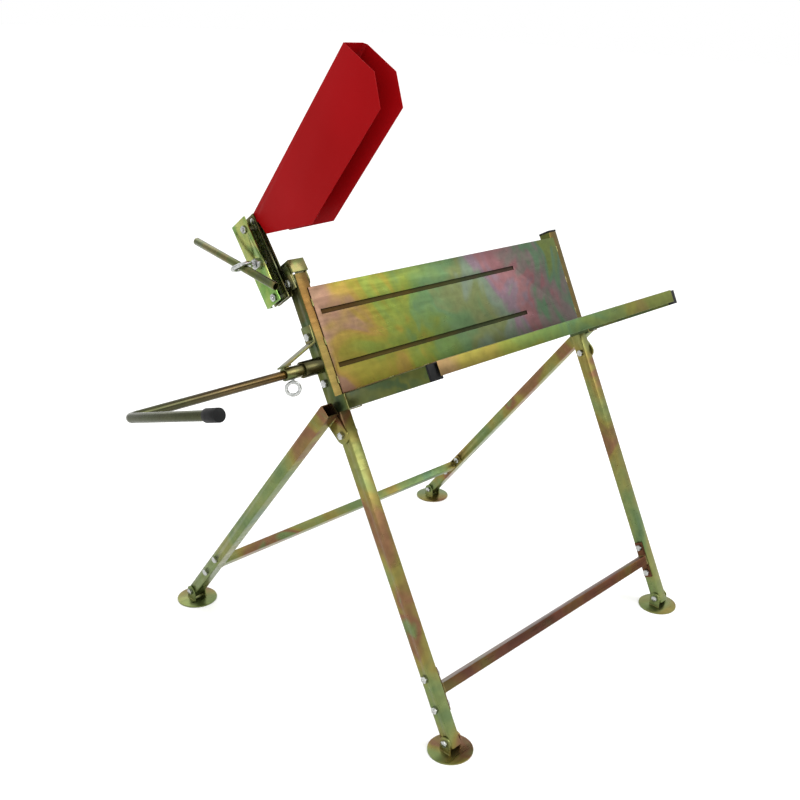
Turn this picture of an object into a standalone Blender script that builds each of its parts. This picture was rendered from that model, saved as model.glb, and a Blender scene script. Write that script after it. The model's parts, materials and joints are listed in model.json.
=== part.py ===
"""Folding log cutting stand: a steel trough on four legs, with a swinging saw clamp, its guard and a length stop.

X runs along the trough, -Y is the front and +Z is up. The saw clamp and the length stop are at the -X end.
All sizes are metres and degrees. One object is one piece of the stand.
"""

import math

import bmesh
import bpy
from mathutils import Matrix, Vector

# Main frame
LEG_SPACING = 0.733          # between the centre lines of the two front legs, along X
FRONT_FOOT_Y = -0.3205       # where the front legs' centre lines meet the ground
FRONT_LEAN = 28.04           # front legs and uprights lean back from the vertical
REAR_LEAN = 38.75            # rear legs lean forward from the vertical
TUBE = 0.025                 # leg tube, square
WALL = 0.0015                # wall of every square tube
UPRIGHT_TUBE = 0.0286        # uprights and cross tubes, square; the legs plug into the uprights
CROSS_STATION = 0.689        # cross tube's centre line, measured along the front leg from the ground
CROSS_REACH = 0.262          # cross tube's front end, in front of the leg's centre line
CORNER_STUB = 0.0285         # stub on the upright that the cross tube is welded to
LEG_PLUG = 0.056             # how far a front leg goes into its upright above the cross tube
RIGHT_UPRIGHT_TOP = 0.915    # station of the right upright's open end
HOLDER_STATION = 0.918       # station of the saw holder's pivot on the left upright
LEFT_UPRIGHT_OVER = 0.012    # left upright above that pivot
LEG_SCREW_RISE = 0.042       # leg screw above the cross tube's centre line
GAP = 0.0003                 # between pieces that touch

# Trough plates
SHEET = 0.0015
PLATE_INSET = 0.005          # plate's ends inside the leg's centre lines
BACK_HEIGHT = 0.199
LIP = 0.024                  # folded front edge of the bottom plate
LIP_OVERHANG = 0.004
GROOVE_LENGTH = 0.545
GROOVE_WIDTH = 0.008
GROOVE_DEPTH = 0.002         # pressed in, so it stands out as a ridge on the other side
GROOVE_START = 0.012         # from the plate's left end
GROOVE_HEIGHTS = (0.052, 0.152)
FLOOR_GROOVES = (0.070, 0.200)   # in front of the legs' centre lines

# Rear frame and braces
FOLD_STATION = 0.633         # fold bolt on the front leg
FOLD_OFFSET = 0.043          # from the fold bolt to the rear leg's centre line
REAR_TOP_OVER = 0.027        # rear leg above the level of the fold bolt
LUG_THICKNESS = 0.004
LUG_WIDTH = 0.034
LUG_LAP = 0.006              # lug beside the rear leg's edge, where it is welded
BRACE_TUBE = 0.020
FRONT_BRACE_STATION = 0.124
REAR_BRACE_STATION = 0.160
BRACE_PLATE = 0.003
BRACE_PLATE_LENGTH = 0.086
BRACE_PLATE_WIDTH = 0.021
BRACE_BOLT_SPREAD = 0.062

# Feet
PAD_RADIUS = 0.044
PAD_THICKNESS = 0.003
FOOT_PIVOT_HEIGHT = 0.0235
EAR_THICKNESS = 0.003
EAR_WIDTH = 0.026
LEG_END_OVER = 0.013         # leg tube past the foot's pivot

# Fasteners
BOLT_RADIUS = 0.004
HEAD_RADIUS = 0.0075
HEAD_THICKNESS = 0.005
THIN_HEAD = 0.003
HOLE_CLEARANCE = 0.0003
CAP_THICKNESS = 0.004
CAP_PLUG = 0.015

# Length stop
ROD_RADIUS = 0.008
ROD_STATION = 0.765
ROD_INSIDE = 0.1808          # rod's straight part, from the upright's outer face to its hidden end
ROD_OUTSIDE = 0.3842         # and to the bend
ROD_BEND_RADIUS = 0.016
ROD_LEG = 0.250              # return leg, from the rod's centre line to its tip
ROD_LEG_RISE = 18.0
ROD_CAP_RADIUS = 0.0105
ROD_CAP_LENGTH = 0.030
SLEEVE_RADIUS = 0.0115
SLEEVE_LENGTH = 0.0396
HUB_RADIUS = 0.015
HUB_LENGTH = 0.040
LINK_STATION = 0.818
LINK_WIDTH = 0.026
LINK_THICKNESS = 0.003
LINK_FOOT = 0.013            # flat end of the link on the upright, above and below its bolt
STOP_SCREW_RADIUS = 0.003
STOP_RING_RADIUS = 0.012
STOP_RING_WIRE = 0.0032
STOP_RING_TURN = 33.5        # eye's axis is turned this far from the Y direction

# Saw holder, in its own frame: w runs up the jaws, b runs along the saw bar
HOLDER_LEAN = 36.4           # jaws lean back from the vertical
BRACKET_SHEET = 0.003
BRACKET_FRONT = 0.020
BRACKET_BACK = -0.016
BRACKET_BOTTOM = -0.014
BRACKET_TOP = 0.036
BRACKET_WEB_START = 0.012
JAW_THICKNESS = 0.003
JAW_BOTTOM = -0.021
JAW_TOP = 0.139
FIXED_JAW_TOP = 0.130
JAW_BACK = -0.054
JAW_FRONT = -0.0045
JAW_GAP = 0.005              # open between the jaws
FIXED_EAR_TOP = 0.030
FIXED_EAR_FRONT = 0.014
BRIDGE_STANDOFF = 0.0125     # between the moving jaw and the bridge plate
BRIDGE_BACK = -0.056
BRIDGE_FRONT = -0.011
BRIDGE_FLANGE = 0.008
SCREW_W = 0.0541
SCREW_B = -0.0248
TIE_SPREAD = 0.132
CLAMP_NUT_RADIUS = 0.0105
CLAMP_NUT_LENGTH = 0.010
CLAMP_SCREW_RADIUS = 0.005
CLAMP_RING_RADIUS = 0.0165
CLAMP_RING_WIRE = 0.0035
CLAMP_RING_OUT = 0.028       # ring's centre beyond the nut
TOMMY_RADIUS = 0.007
TOMMY_BORE = 0.0056
TOMMY_LENGTH = 0.228
TOMMY_BACK = 0.132           # from the ring to the tube's back end
TOMMY_DROP = 45.5            # tube points this far below the saw bar's direction

# Guard, from its hinge: g along the guard, d down from the hinge
GUARD_SHEET = 0.0012
GUARD_LEAN = 50.9            # guard's slope above the horizontal
GUARD_WIDTH = 0.047
GUARD_W = 0.1285
GUARD_B = -0.0128
GUARD_ROOF = -0.0095
GUARD_LENGTH = 0.387
GUARD_NOSE = 0.015           # lower corner of the open end beyond the roof
GUARD_CREASE = 0.066
GUARD_DEPTH = 0.110
GUARD_FLARE = 0.002
GUARD_CHAMFER = 0.006
GUARD_FOOT = 0.117           # where the lower edge starts
GUARD_HEEL = 0.037
GUARD_HEEL_OUT = 0.0083      # near side's back edge ahead of the hinge, below the tab
GUARD_TAB = 0.007            # behind the hinge
GUARD_TAB_DROP = 0.0075      # tab below the hinge
GUARD_BOLT_RADIUS = 0.003
GUARD_HEAD_RADIUS = 0.0055

ROUND_SIDES = 24
HOLE_SIDES = 16

HALF = LEG_SPACING / 2
UPRIGHT_HALF = UPRIGHT_TUBE / 2
TUBE_HALF = TUBE / 2
REAR_X = HALF + TUBE + LUG_THICKNESS + 2 * GAP
CROSS_TOP = CROSS_STATION + UPRIGHT_HALF
PLATE_LENGTH = LEG_SPACING - 2 * PLATE_INSET
UPRIGHT_FACE = -HALF - UPRIGHT_HALF          # outer face of the left upright
HUB_END = UPRIGHT_FACE - GAP - HUB_LENGTH
SLEEVE_END = HUB_END - GAP - SLEEVE_LENGTH
SLEEVE_MIDDLE = SLEEVE_END + SLEEVE_LENGTH / 2
ROD_INNER_END = UPRIGHT_FACE + ROD_INSIDE
ROD_BEND_X = UPRIGHT_FACE - ROD_OUTSIDE

COLOURS = {
    "zinc": ((0.42, 0.40, 0.16, 1.0), 0.35, 0.9),
    "bolt": ((0.62, 0.62, 0.60, 1.0), 0.3, 1.0),
    "red": ((0.45, 0.01, 0.015, 1.0), 0.4, 0.0),
    "black": ((0.02, 0.02, 0.02, 1.0), 0.6, 0.0),
}


def clear_scene():
    for obj in list(bpy.data.objects):
        bpy.data.objects.remove(obj, do_unlink=True)


def material(name):
    colour, roughness, metallic = COLOURS[name.rsplit("_", 1)[-1]]
    made = bpy.data.materials.new(name)
    made.use_nodes = True
    shader = made.node_tree.nodes["Principled BSDF"]
    shader.inputs["Base Color"].default_value = colour
    shader.inputs["Roughness"].default_value = roughness
    shader.inputs["Metallic"].default_value = metallic
    return made


def empty(name, parent, location, lean=0.0):
    """An empty on a joint's axis; lean turns it about X, in degrees."""
    made = bpy.data.objects.new(name, None)
    bpy.context.scene.collection.objects.link(made)
    made.parent = parent
    made.location = location
    made.rotation_euler.x = math.radians(lean)
    return made


def box(low, high):
    """A block between two corners."""
    shape = bmesh.new()
    bmesh.ops.create_cube(shape, size=1.0)
    low, high = Vector(low), Vector(high)
    size = Matrix.Diagonal((*(high - low), 1.0))
    bmesh.ops.transform(shape, matrix=Matrix.Translation((low + high) / 2) @ size, verts=shape.verts)
    return shape


def turn_to(axis):
    """The rotation that takes +Z to this axis."""
    return Vector((0, 0, 1)).rotation_difference(Vector(axis).normalized()).to_matrix().to_4x4()


def rod(start, end, radius, sides=ROUND_SIDES):
    """A round bar, or a hexagon with 6 sides, between two points."""
    start, end = Vector(start), Vector(end)
    shape = bmesh.new()
    bmesh.ops.create_cone(
        shape, cap_ends=True, segments=sides, radius1=radius, radius2=radius, depth=(end - start).length
    )
    place = Matrix.Translation((start + end) / 2) @ turn_to(end - start)
    bmesh.ops.transform(shape, matrix=place, verts=shape.verts)
    return shape


def ring(centre, axis, radius, wire, around=20, sides=10):
    """A torus about this axis, spun from a circle."""
    shape = bmesh.new()
    bmesh.ops.create_circle(shape, segments=sides, radius=wire)
    stand = Matrix.Translation((radius, 0, 0)) @ Matrix.Rotation(math.pi / 2, 4, "X")
    bmesh.ops.transform(shape, matrix=stand, verts=shape.verts)
    bmesh.ops.spin(
        shape, geom=shape.edges[:], cent=(0, 0, 0), axis=(0, 0, 1), angle=2 * math.pi, steps=around, use_merge=True
    )
    bmesh.ops.recalc_face_normals(shape, faces=shape.faces)
    place = Matrix.Translation(centre) @ turn_to(axis)
    bmesh.ops.transform(shape, matrix=place, verts=shape.verts)
    return shape


def prism(outline, x_low, x_high):
    """An outline of (y, z) points, extruded along X."""
    shape = bmesh.new()
    face = shape.faces.new([shape.verts.new((x_low, y, z)) for y, z in outline])
    grown = bmesh.ops.extrude_face_region(shape, geom=[face])
    moved = [item for item in grown["geom"] if isinstance(item, bmesh.types.BMVert)]
    bmesh.ops.translate(shape, vec=(x_high - x_low, 0, 0), verts=moved)
    bmesh.ops.recalc_face_normals(shape, faces=shape.faces)
    return shape


def tongue(x_low, x_high, half, reach, angle):
    """A plate across X with a round end about the local X axis, reaching out at this angle from +Y."""
    steps = ROUND_SIDES // 2
    turns = [math.pi / 2 + math.pi * step / steps for step in range(steps + 1)]
    points = [(half * math.cos(turn), half * math.sin(turn)) for turn in turns] + [(reach, -half), (reach, half)]
    c, s = math.cos(math.radians(angle)), math.sin(math.radians(angle))
    return prism([(y * c - z * s, y * s + z * c) for y, z in points], x_low, x_high)


def as_object(name, shape):
    mesh = bpy.data.meshes.new(name)
    shape.to_mesh(mesh)
    shape.free()
    made = bpy.data.objects.new(name, mesh)
    bpy.context.scene.collection.objects.link(made)
    return made


def solid(added, cut=(), kept=()):
    """One mesh: the union of the added shapes, less the cut ones, and inside each of the kept ones."""
    base = as_object("base", added[0])
    steps = [("UNION", s) for s in added[1:]] + [("DIFFERENCE", s) for s in cut] + [("INTERSECT", s) for s in kept]
    helpers = []
    for operation, shape in steps:
        helper = as_object("helper", shape)
        helper.hide_render = True
        helper.display_type = "WIRE"
        step = base.modifiers.new(operation, "BOOLEAN")
        step.operation = operation
        step.solver = "EXACT"
        step.object = helper
        helpers.append(helper)
    bpy.context.view_layer.update()
    graph = bpy.context.evaluated_depsgraph_get()
    mesh = bpy.data.meshes.new_from_object(base.evaluated_get(graph))
    for used in [base, *helpers]:
        bpy.data.objects.remove(used, do_unlink=True)
    return mesh


def piece(name, finish, parent, mesh, smooth=False):
    """A named piece with its own material, in its parent's frame."""
    mesh.name = name
    made = bpy.data.objects.new(name, mesh)
    bpy.context.scene.collection.objects.link(made)
    made.parent = parent
    mesh.materials.append(material(f"{name}_{finish}"))
    if smooth:
        mesh.shade_smooth()
        mesh.set_sharp_from_angle(angle=math.radians(35))
    return made


def square_tube(x, y, low, high, size, wall=WALL):
    """(outer, inner) shapes of a square tube that stands along local Z at (x, y)."""
    half = size / 2
    inside = half - wall
    return (
        box((x - half, y - half, low), (x + half, y + half, high)),
        box((x - inside, y - inside, low - wall), (x + inside, y + inside, high + wall)),
    )


def hole_x(x_low, x_high, y, z, radius=BOLT_RADIUS, sides=HOLE_SIDES):
    """A drilled hole along X for a bolt of this radius."""
    clear = 2 * WALL
    return rod((x_low - clear, y, z), (x_high + clear, y, z), radius + HOLE_CLEARANCE, sides)


def bolt_x(x_head, x_nut, y, z, radius=BOLT_RADIUS, head=HEAD_RADIUS, thick=HEAD_THICKNESS, over=0.003):
    """A bolt along X whose head seats at x_head and whose nut seats at x_nut, both with the usual gap."""
    way = 1 if x_nut > x_head else -1
    head_face = x_head - way * GAP
    nut_face = x_nut + way * GAP
    shank = rod((head_face - way * thick / 2, y, z), (nut_face + way * (thick + over), y, z), radius, HOLE_SIDES)
    cap = rod((head_face - way * thick, y, z), (head_face, y, z), head, 6)
    nut = rod((nut_face, y, z), (nut_face + way * thick, y, z), head, 6)
    return solid([shank, cap, nut])


def front_point(station, ahead=0.0):
    """(y, z) of a point on the front leg's line, this far in front of it."""
    lean = math.radians(FRONT_LEAN)
    return (
        FRONT_FOOT_Y + station * math.sin(lean) - ahead * math.cos(lean),
        station * math.cos(lean) + ahead * math.sin(lean),
    )


def uprights_and_legs(front):
    """Front legs that plug into the uprights, with the cross tubes in front. Local -Y points ahead."""
    foot = FOOT_PIVOT_HEIGHT / math.cos(math.radians(FRONT_LEAN))
    plug_top = CROSS_STATION + LEG_PLUG
    brace_stations = [FRONT_BRACE_STATION + side * BRACE_BOLT_SPREAD / 2 for side in (-1, 1)]
    screw = CROSS_STATION + LEG_SCREW_RISE
    for side, name in ((-1, "left"), (1, "right")):
        x = side * HALF
        outer, inner = square_tube(x, 0, foot - LEG_END_OVER, plug_top, TUBE)
        drilled = [foot, FOLD_STATION, screw, *brace_stations]
        holes = [hole_x(x - TUBE_HALF, x + TUBE_HALF, 0, z) for z in drilled]
        piece(f"front_leg_{name}", "zinc", front, solid([outer], [inner, *holes]))

        top = HOLDER_STATION + LEFT_UPRIGHT_OVER if side < 0 else RIGHT_UPRIGHT_TOP
        bottom = CROSS_STATION - UPRIGHT_HALF
        outer, inner = square_tube(x, 0, bottom, top, UPRIGHT_TUBE)
        stub_front = -(UPRIGHT_HALF + CORNER_STUB)
        stub = box((x - UPRIGHT_HALF, stub_front, bottom), (x + UPRIGHT_HALF, 0, CROSS_TOP))
        bore = UPRIGHT_HALF - WALL
        stub_bore = box(
            (x - bore, stub_front - WALL, bottom + WALL), (x + bore, -UPRIGHT_HALF, CROSS_TOP - WALL)
        )
        holes = [hole_x(x - UPRIGHT_HALF, x + UPRIGHT_HALF, 0, screw)]
        if side < 0:
            holes.append(hole_x(x - UPRIGHT_HALF, x + UPRIGHT_HALF, 0, ROD_STATION, ROD_RADIUS, ROUND_SIDES))
            holes.append(hole_x(x - UPRIGHT_HALF, x + UPRIGHT_HALF, 0, LINK_STATION))
            holes.append(hole_x(x - UPRIGHT_HALF, x + UPRIGHT_HALF, 0, HOLDER_STATION))
        piece(f"upright_{name}", "zinc", front, solid([outer, stub], [inner, stub_bore, *holes]))

        half, inside = UPRIGHT_HALF, UPRIGHT_HALF - WALL
        tube = box((x - half, -CROSS_REACH, bottom), (x + half, stub_front - GAP, CROSS_TOP))
        hollow = box(
            (x - inside, -CROSS_REACH - WALL, bottom + WALL), (x + inside, stub_front + WALL, CROSS_TOP - WALL)
        )
        piece(f"cross_tube_{name}", "zinc", front, solid([tube], [hollow]))
        cap = box((x - half, -CROSS_REACH - GAP - CAP_THICKNESS, bottom), (x + half, -CROSS_REACH - GAP, CROSS_TOP))
        plug_half = inside - GAP
        plug = box(
            (x - plug_half, -CROSS_REACH - CAP_THICKNESS, CROSS_STATION - plug_half),
            (x + plug_half, -CROSS_REACH + CAP_PLUG, CROSS_STATION + plug_half),
        )
        piece(f"cross_tube_cap_{name}", "black", front, solid([cap, plug]))

    piece("leg_screw_left", "bolt", front, bolt_x(UPRIGHT_FACE, -HALF + UPRIGHT_HALF, 0, screw))
    piece("leg_screw_right", "bolt", front, bolt_x(HALF + UPRIGHT_HALF, HALF - UPRIGHT_HALF, 0, screw))
    foot_bolts("front", front, HALF, 0, foot)
    lug_side = TUBE_HALF + GAP + LUG_THICKNESS
    piece("fold_bolt_left", "bolt", front, bolt_x(-HALF - lug_side, -HALF + TUBE_HALF, 0, FOLD_STATION))
    piece("fold_bolt_right", "bolt", front, bolt_x(HALF - TUBE_HALF, HALF + lug_side, 0, FOLD_STATION))
    half, plug_half, top = UPRIGHT_HALF, UPRIGHT_HALF - WALL - GAP, RIGHT_UPRIGHT_TOP
    cap = box((HALF - half, -half, top + GAP), (HALF + half, half, top + GAP + CAP_THICKNESS))
    plug = box((HALF - plug_half, -plug_half, top - CAP_PLUG), (HALF + plug_half, plug_half, top + CAP_THICKNESS))
    piece("upright_cap_right", "black", front, solid([cap, plug]))
    return foot


def foot_bolts(name, parent, half_spacing, y, z):
    """The two foot bolts of a frame, through the ears and the leg; both heads are on the -X side."""
    reach = TUBE_HALF + GAP + EAR_THICKNESS
    for side, where in ((-1, "left"), (1, "right")):
        x = side * half_spacing
        piece(f"{name}_foot_bolt_{where}", "bolt", parent, bolt_x(x - reach, x + reach, y, z))


def trough(front):
    """Back plate on the uprights and bottom plate, with its front lip, on the cross tubes."""
    half = PLATE_LENGTH / 2
    face = -(UPRIGHT_HALF + GAP)
    low = CROSS_TOP + GAP
    start = -half + GROOVE_START
    end = start + GROOVE_LENGTH
    groove_half = GROOVE_WIDTH / 2
    ridge_half = groove_half + SHEET
    back = box((-half, face - SHEET, low), (half, face, CROSS_TOP + BACK_HEIGHT))
    ridges, grooves = [], []
    for height in GROOVE_HEIGHTS:
        z = CROSS_TOP + height
        ridges.append(
            box((start - SHEET, face - SHEET, z - ridge_half), (end + SHEET, face + GROOVE_DEPTH, z + ridge_half))
        )
        grooves.append(
            box((start, face - 2 * SHEET, z - groove_half), (end, face - SHEET + GROOVE_DEPTH, z + groove_half))
        )
    piece("back_plate", "zinc", front, solid([back, *ridges], grooves))

    front_edge = -(CROSS_REACH + GAP + CAP_THICKNESS + LIP_OVERHANG)
    floor = box((-half, front_edge, low), (half, face - SHEET - GAP, low + SHEET))
    lip = box((-half, front_edge - SHEET / 2, low - LIP), (half, front_edge + SHEET / 2, low + SHEET))
    ridges, grooves = [], []
    for ahead in FLOOR_GROOVES:
        ridges.append(
            box((start - SHEET, -ahead - ridge_half, low - GROOVE_DEPTH), (end + SHEET, -ahead + ridge_half, low + SHEET))
        )
        grooves.append(
            box((start, -ahead - groove_half, low + SHEET - GROOVE_DEPTH), (end, -ahead + groove_half, low + 2 * SHEET))
        )
    piece("bottom_plate", "zinc", front, solid([floor, lip, *ridges], grooves))


def brace(name, parent, station, inner, y=0.0):
    """Square tube between two legs, with a bolted plate at each end. inner is half the clear width."""
    plate_in = inner - GAP - BRACE_PLATE
    half = BRACE_TUBE / 2
    tube_end = plate_in + BRACE_PLATE / 2
    tube = box((-tube_end, y - half, station - half), (tube_end, y + half, station + half))
    added = [tube]
    for side in (-1, 1):
        x_low, x_high = sorted((side * plate_in, side * (inner - GAP)))
        y_half, z_half = BRACE_PLATE_WIDTH / 2, BRACE_PLATE_LENGTH / 2
        added.append(box((x_low, y - y_half, station - z_half), (x_high, y + y_half, station + z_half)))
    spread = [station - BRACE_BOLT_SPREAD / 2, station + BRACE_BOLT_SPREAD / 2]
    holes = []
    for side in (-1, 1):
        x_low, x_high = sorted((side * plate_in, side * inner))
        holes += [hole_x(x_low, x_high, y, z) for z in spread]
    piece(name, "zinc", parent, solid(added, holes))
    for z, height in zip(spread, ("low", "high")):
        left = bolt_x(-inner - TUBE, -plate_in, y, z)
        piece(f"{name}_bolt_left_{height}", "bolt", parent, left)
        right = bolt_x(plate_in, inner + TUBE, y, z)
        piece(f"{name}_bolt_right_{height}", "bolt", parent, right)


def rear_frame(axis):
    """Rear legs with their fold lugs, in a frame at the fold bolts whose local Z runs up the legs."""
    lean = math.radians(REAR_LEAN)
    fold_z = front_point(FOLD_STATION)[1]
    foot = -(fold_z - FOOT_PIVOT_HEIGHT + FOLD_OFFSET * math.sin(lean)) / math.cos(lean)
    ground = foot - FOOT_PIVOT_HEIGHT / math.cos(lean)
    station = ground + REAR_BRACE_STATION
    spread = [station - BRACE_BOLT_SPREAD / 2, station + BRACE_BOLT_SPREAD / 2]
    for side, name in ((-1, "left"), (1, "right")):
        x = side * REAR_X
        outer, inner = square_tube(x, FOLD_OFFSET, foot - LEG_END_OVER, REAR_TOP_OVER, TUBE)
        holes = [hole_x(x - TUBE_HALF, x + TUBE_HALF, FOLD_OFFSET, z) for z in (foot, *spread)]
        piece(f"rear_leg_{name}", "zinc", axis, solid([outer], [inner, *holes]))
        x_in = side * (HALF + TUBE_HALF + GAP)
        x_out = side * (HALF + TUBE_HALF + GAP + LUG_THICKNESS)
        x_low, x_high = sorted((x_in, x_out))
        lug = tongue(x_low, x_high, LUG_WIDTH / 2, FOLD_OFFSET - TUBE_HALF + LUG_LAP, 0)
        piece(f"fold_lug_{name}", "zinc", axis, solid([lug], [hole_x(x_low, x_high, 0, 0)]))
    brace("rear_brace", axis, station, REAR_X - TUBE_HALF, FOLD_OFFSET)
    foot_bolts("rear", axis, REAR_X, FOLD_OFFSET, foot)
    half, plug_half = TUBE_HALF, TUBE_HALF - WALL - GAP
    x, y, top = REAR_X, FOLD_OFFSET, REAR_TOP_OVER
    cap = box((x - half, y - half, top + GAP), (x + half, y + half, top + GAP + CAP_THICKNESS))
    plug = box((x - plug_half, y - plug_half, top - CAP_PLUG), (x + plug_half, y + plug_half, top + CAP_THICKNESS))
    piece("rear_leg_cap_right", "black", axis, solid([cap, plug]))
    return foot


def foot_pad(name, axis):
    """Round pad with two ears on the leg, level, in a frame on the foot's pivot."""
    floor = -FOOT_PIVOT_HEIGHT
    disc = rod((0, 0, floor), (0, 0, floor + PAD_THICKNESS), PAD_RADIUS, 36)
    added, holes = [disc], []
    inner = TUBE_HALF + GAP
    for side in (-1, 1):
        x_low, x_high = sorted((side * inner, side * (inner + EAR_THICKNESS)))
        added.append(tongue(x_low, x_high, EAR_WIDTH / 2, FOOT_PIVOT_HEIGHT - PAD_THICKNESS / 2, -90))
        holes.append(hole_x(x_low, x_high, 0, 0))
    piece(name, "zinc", axis, solid(added, holes), smooth=True)


def length_stop(front, slide, screw):
    """Bent rod in a sleeve and hub beside the upright, held by an eye screw, and the link that carries them."""
    bore = ROD_RADIUS + HOLE_CLEARANCE
    hub = rod((UPRIGHT_FACE - GAP, 0, ROD_STATION), (HUB_END, 0, ROD_STATION), HUB_RADIUS)
    hub_bore = rod((UPRIGHT_FACE, 0, ROD_STATION), (HUB_END - WALL, 0, ROD_STATION), bore)
    piece("stop_hub", "zinc", front, solid([hub], [hub_bore]), smooth=True)
    sleeve = rod((HUB_END - GAP, 0, ROD_STATION), (SLEEVE_END, 0, ROD_STATION), SLEEVE_RADIUS)
    sleeve_bore = rod((HUB_END, 0, ROD_STATION), (SLEEVE_END - WALL, 0, ROD_STATION), bore)
    lean = Matrix.Rotation(math.radians(FRONT_LEAN), 4, "X")
    down = lean @ Vector((0, 0, -1))
    start = Vector((SLEEVE_MIDDLE, 0, ROD_STATION))
    seat = rod(start, start + down * (SLEEVE_RADIUS + WALL), STOP_SCREW_RADIUS + HOLE_CLEARANCE, HOLE_SIDES)
    piece("stop_sleeve", "zinc", front, solid([sleeve], [sleeve_bore, seat]), smooth=True)

    # The link is a flat bar: bolted to the upright, bent out along X and welded on top of the sleeve.
    thick, half = LINK_THICKNESS, LINK_WIDTH / 2
    x_in = UPRIGHT_FACE - GAP
    rise = ROD_STATION + SLEEVE_RADIUS + GAP
    low = LINK_STATION - LINK_FOOT
    high = LINK_STATION + LINK_FOOT + half / 2
    x_out = SLEEVE_END
    profile = [
        (x_in, high), (x_in, low), (x_out + half, rise + thick), (x_out + half, rise),
        (x_out, rise), (x_out, rise + thick), (x_in - thick, low + thick), (x_in - thick, high),
    ]
    bar = bmesh.new()
    face = bar.faces.new([bar.verts.new((x, -half, z)) for x, z in profile])
    grown = bmesh.ops.extrude_face_region(bar, geom=[face])
    moved = [item for item in grown["geom"] if isinstance(item, bmesh.types.BMVert)]
    bmesh.ops.translate(bar, vec=(0, LINK_WIDTH, 0), verts=moved)
    bmesh.ops.recalc_face_normals(bar, faces=bar.faces)
    piece("stop_link", "zinc", front, solid([bar], [hole_x(x_in - thick, x_in, 0, LINK_STATION)]))
    piece("link_bolt", "bolt", front, bolt_x(x_in - thick, -HALF + UPRIGHT_HALF, 0, LINK_STATION))

    # Rod in the world's directions, with its origin on the rod's line.
    rise_angle = math.radians(ROD_LEG_RISE)
    ahead = Vector((0, -math.cos(rise_angle), math.sin(rise_angle)))
    corner = Vector((ROD_BEND_X, 0, 0))
    along = Vector((1, 0, 0))
    radius = ROD_BEND_RADIUS
    centre = corner + along * radius + ahead * radius
    path = [Vector((ROD_INNER_END, 0, 0))]
    turns = 8
    for step in range(turns + 1):
        angle = math.pi / 2 * step / turns
        path.append(centre - ahead * radius * math.cos(angle) - along * radius * math.sin(angle))
    tip = corner + ahead * ROD_LEG
    path.append(tip)
    curve = bpy.data.curves.new("stop_rod", "CURVE")
    curve.dimensions = "3D"
    curve.bevel_depth = ROD_RADIUS
    curve.bevel_resolution = 4
    curve.use_fill_caps = True
    spline = curve.splines.new("POLY")
    spline.points.add(len(path) - 1)
    for point, place in zip(spline.points, path):
        point.co = (*place, 1.0)
        point.radius = 1.0
    curve.materials.append(material("stop_rod_zinc"))
    made = bpy.data.objects.new("stop_rod", curve)
    bpy.context.scene.collection.objects.link(made)
    made.parent = slide
    cap_start = tip - ahead * (ROD_CAP_LENGTH - CAP_THICKNESS)
    cap = rod(cap_start, tip + ahead * CAP_THICKNESS, ROD_CAP_RADIUS)
    socket = rod(cap_start - ahead * WALL, tip + ahead * GAP, ROD_RADIUS + GAP)
    piece("stop_rod_cap", "black", slide, solid([cap], [socket]), smooth=True)

    stem_top = -(ROD_RADIUS + 2 * GAP)
    ring_at = -(SLEEVE_RADIUS + STOP_RING_RADIUS + 2 * STOP_RING_WIRE)
    stem = rod((0, 0, stem_top), (0, 0, ring_at + STOP_RING_RADIUS), STOP_SCREW_RADIUS, HOLE_SIDES)
    turn = math.radians(STOP_RING_TURN)
    eye = ring((0, 0, ring_at), (math.sin(turn), math.cos(turn), 0), STOP_RING_RADIUS, STOP_RING_WIRE)
    piece("stop_eye_screw", "bolt", screw, solid([stem, eye]), smooth=True)


def jaw_x():
    """X of each face in the clamp's stack, from the upright outwards."""
    wall_out = UPRIGHT_FACE - GAP - BRACKET_SHEET
    fixed_in = wall_out - GAP
    fixed_out = fixed_in - JAW_THICKNESS
    moving_in = fixed_out - JAW_GAP
    moving_out = moving_in - JAW_THICKNESS
    bridge_in = moving_out - BRIDGE_STANDOFF
    bridge_out = bridge_in - BRACKET_SHEET
    return wall_out, fixed_in, fixed_out, moving_in, moving_out, bridge_in, bridge_out


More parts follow.
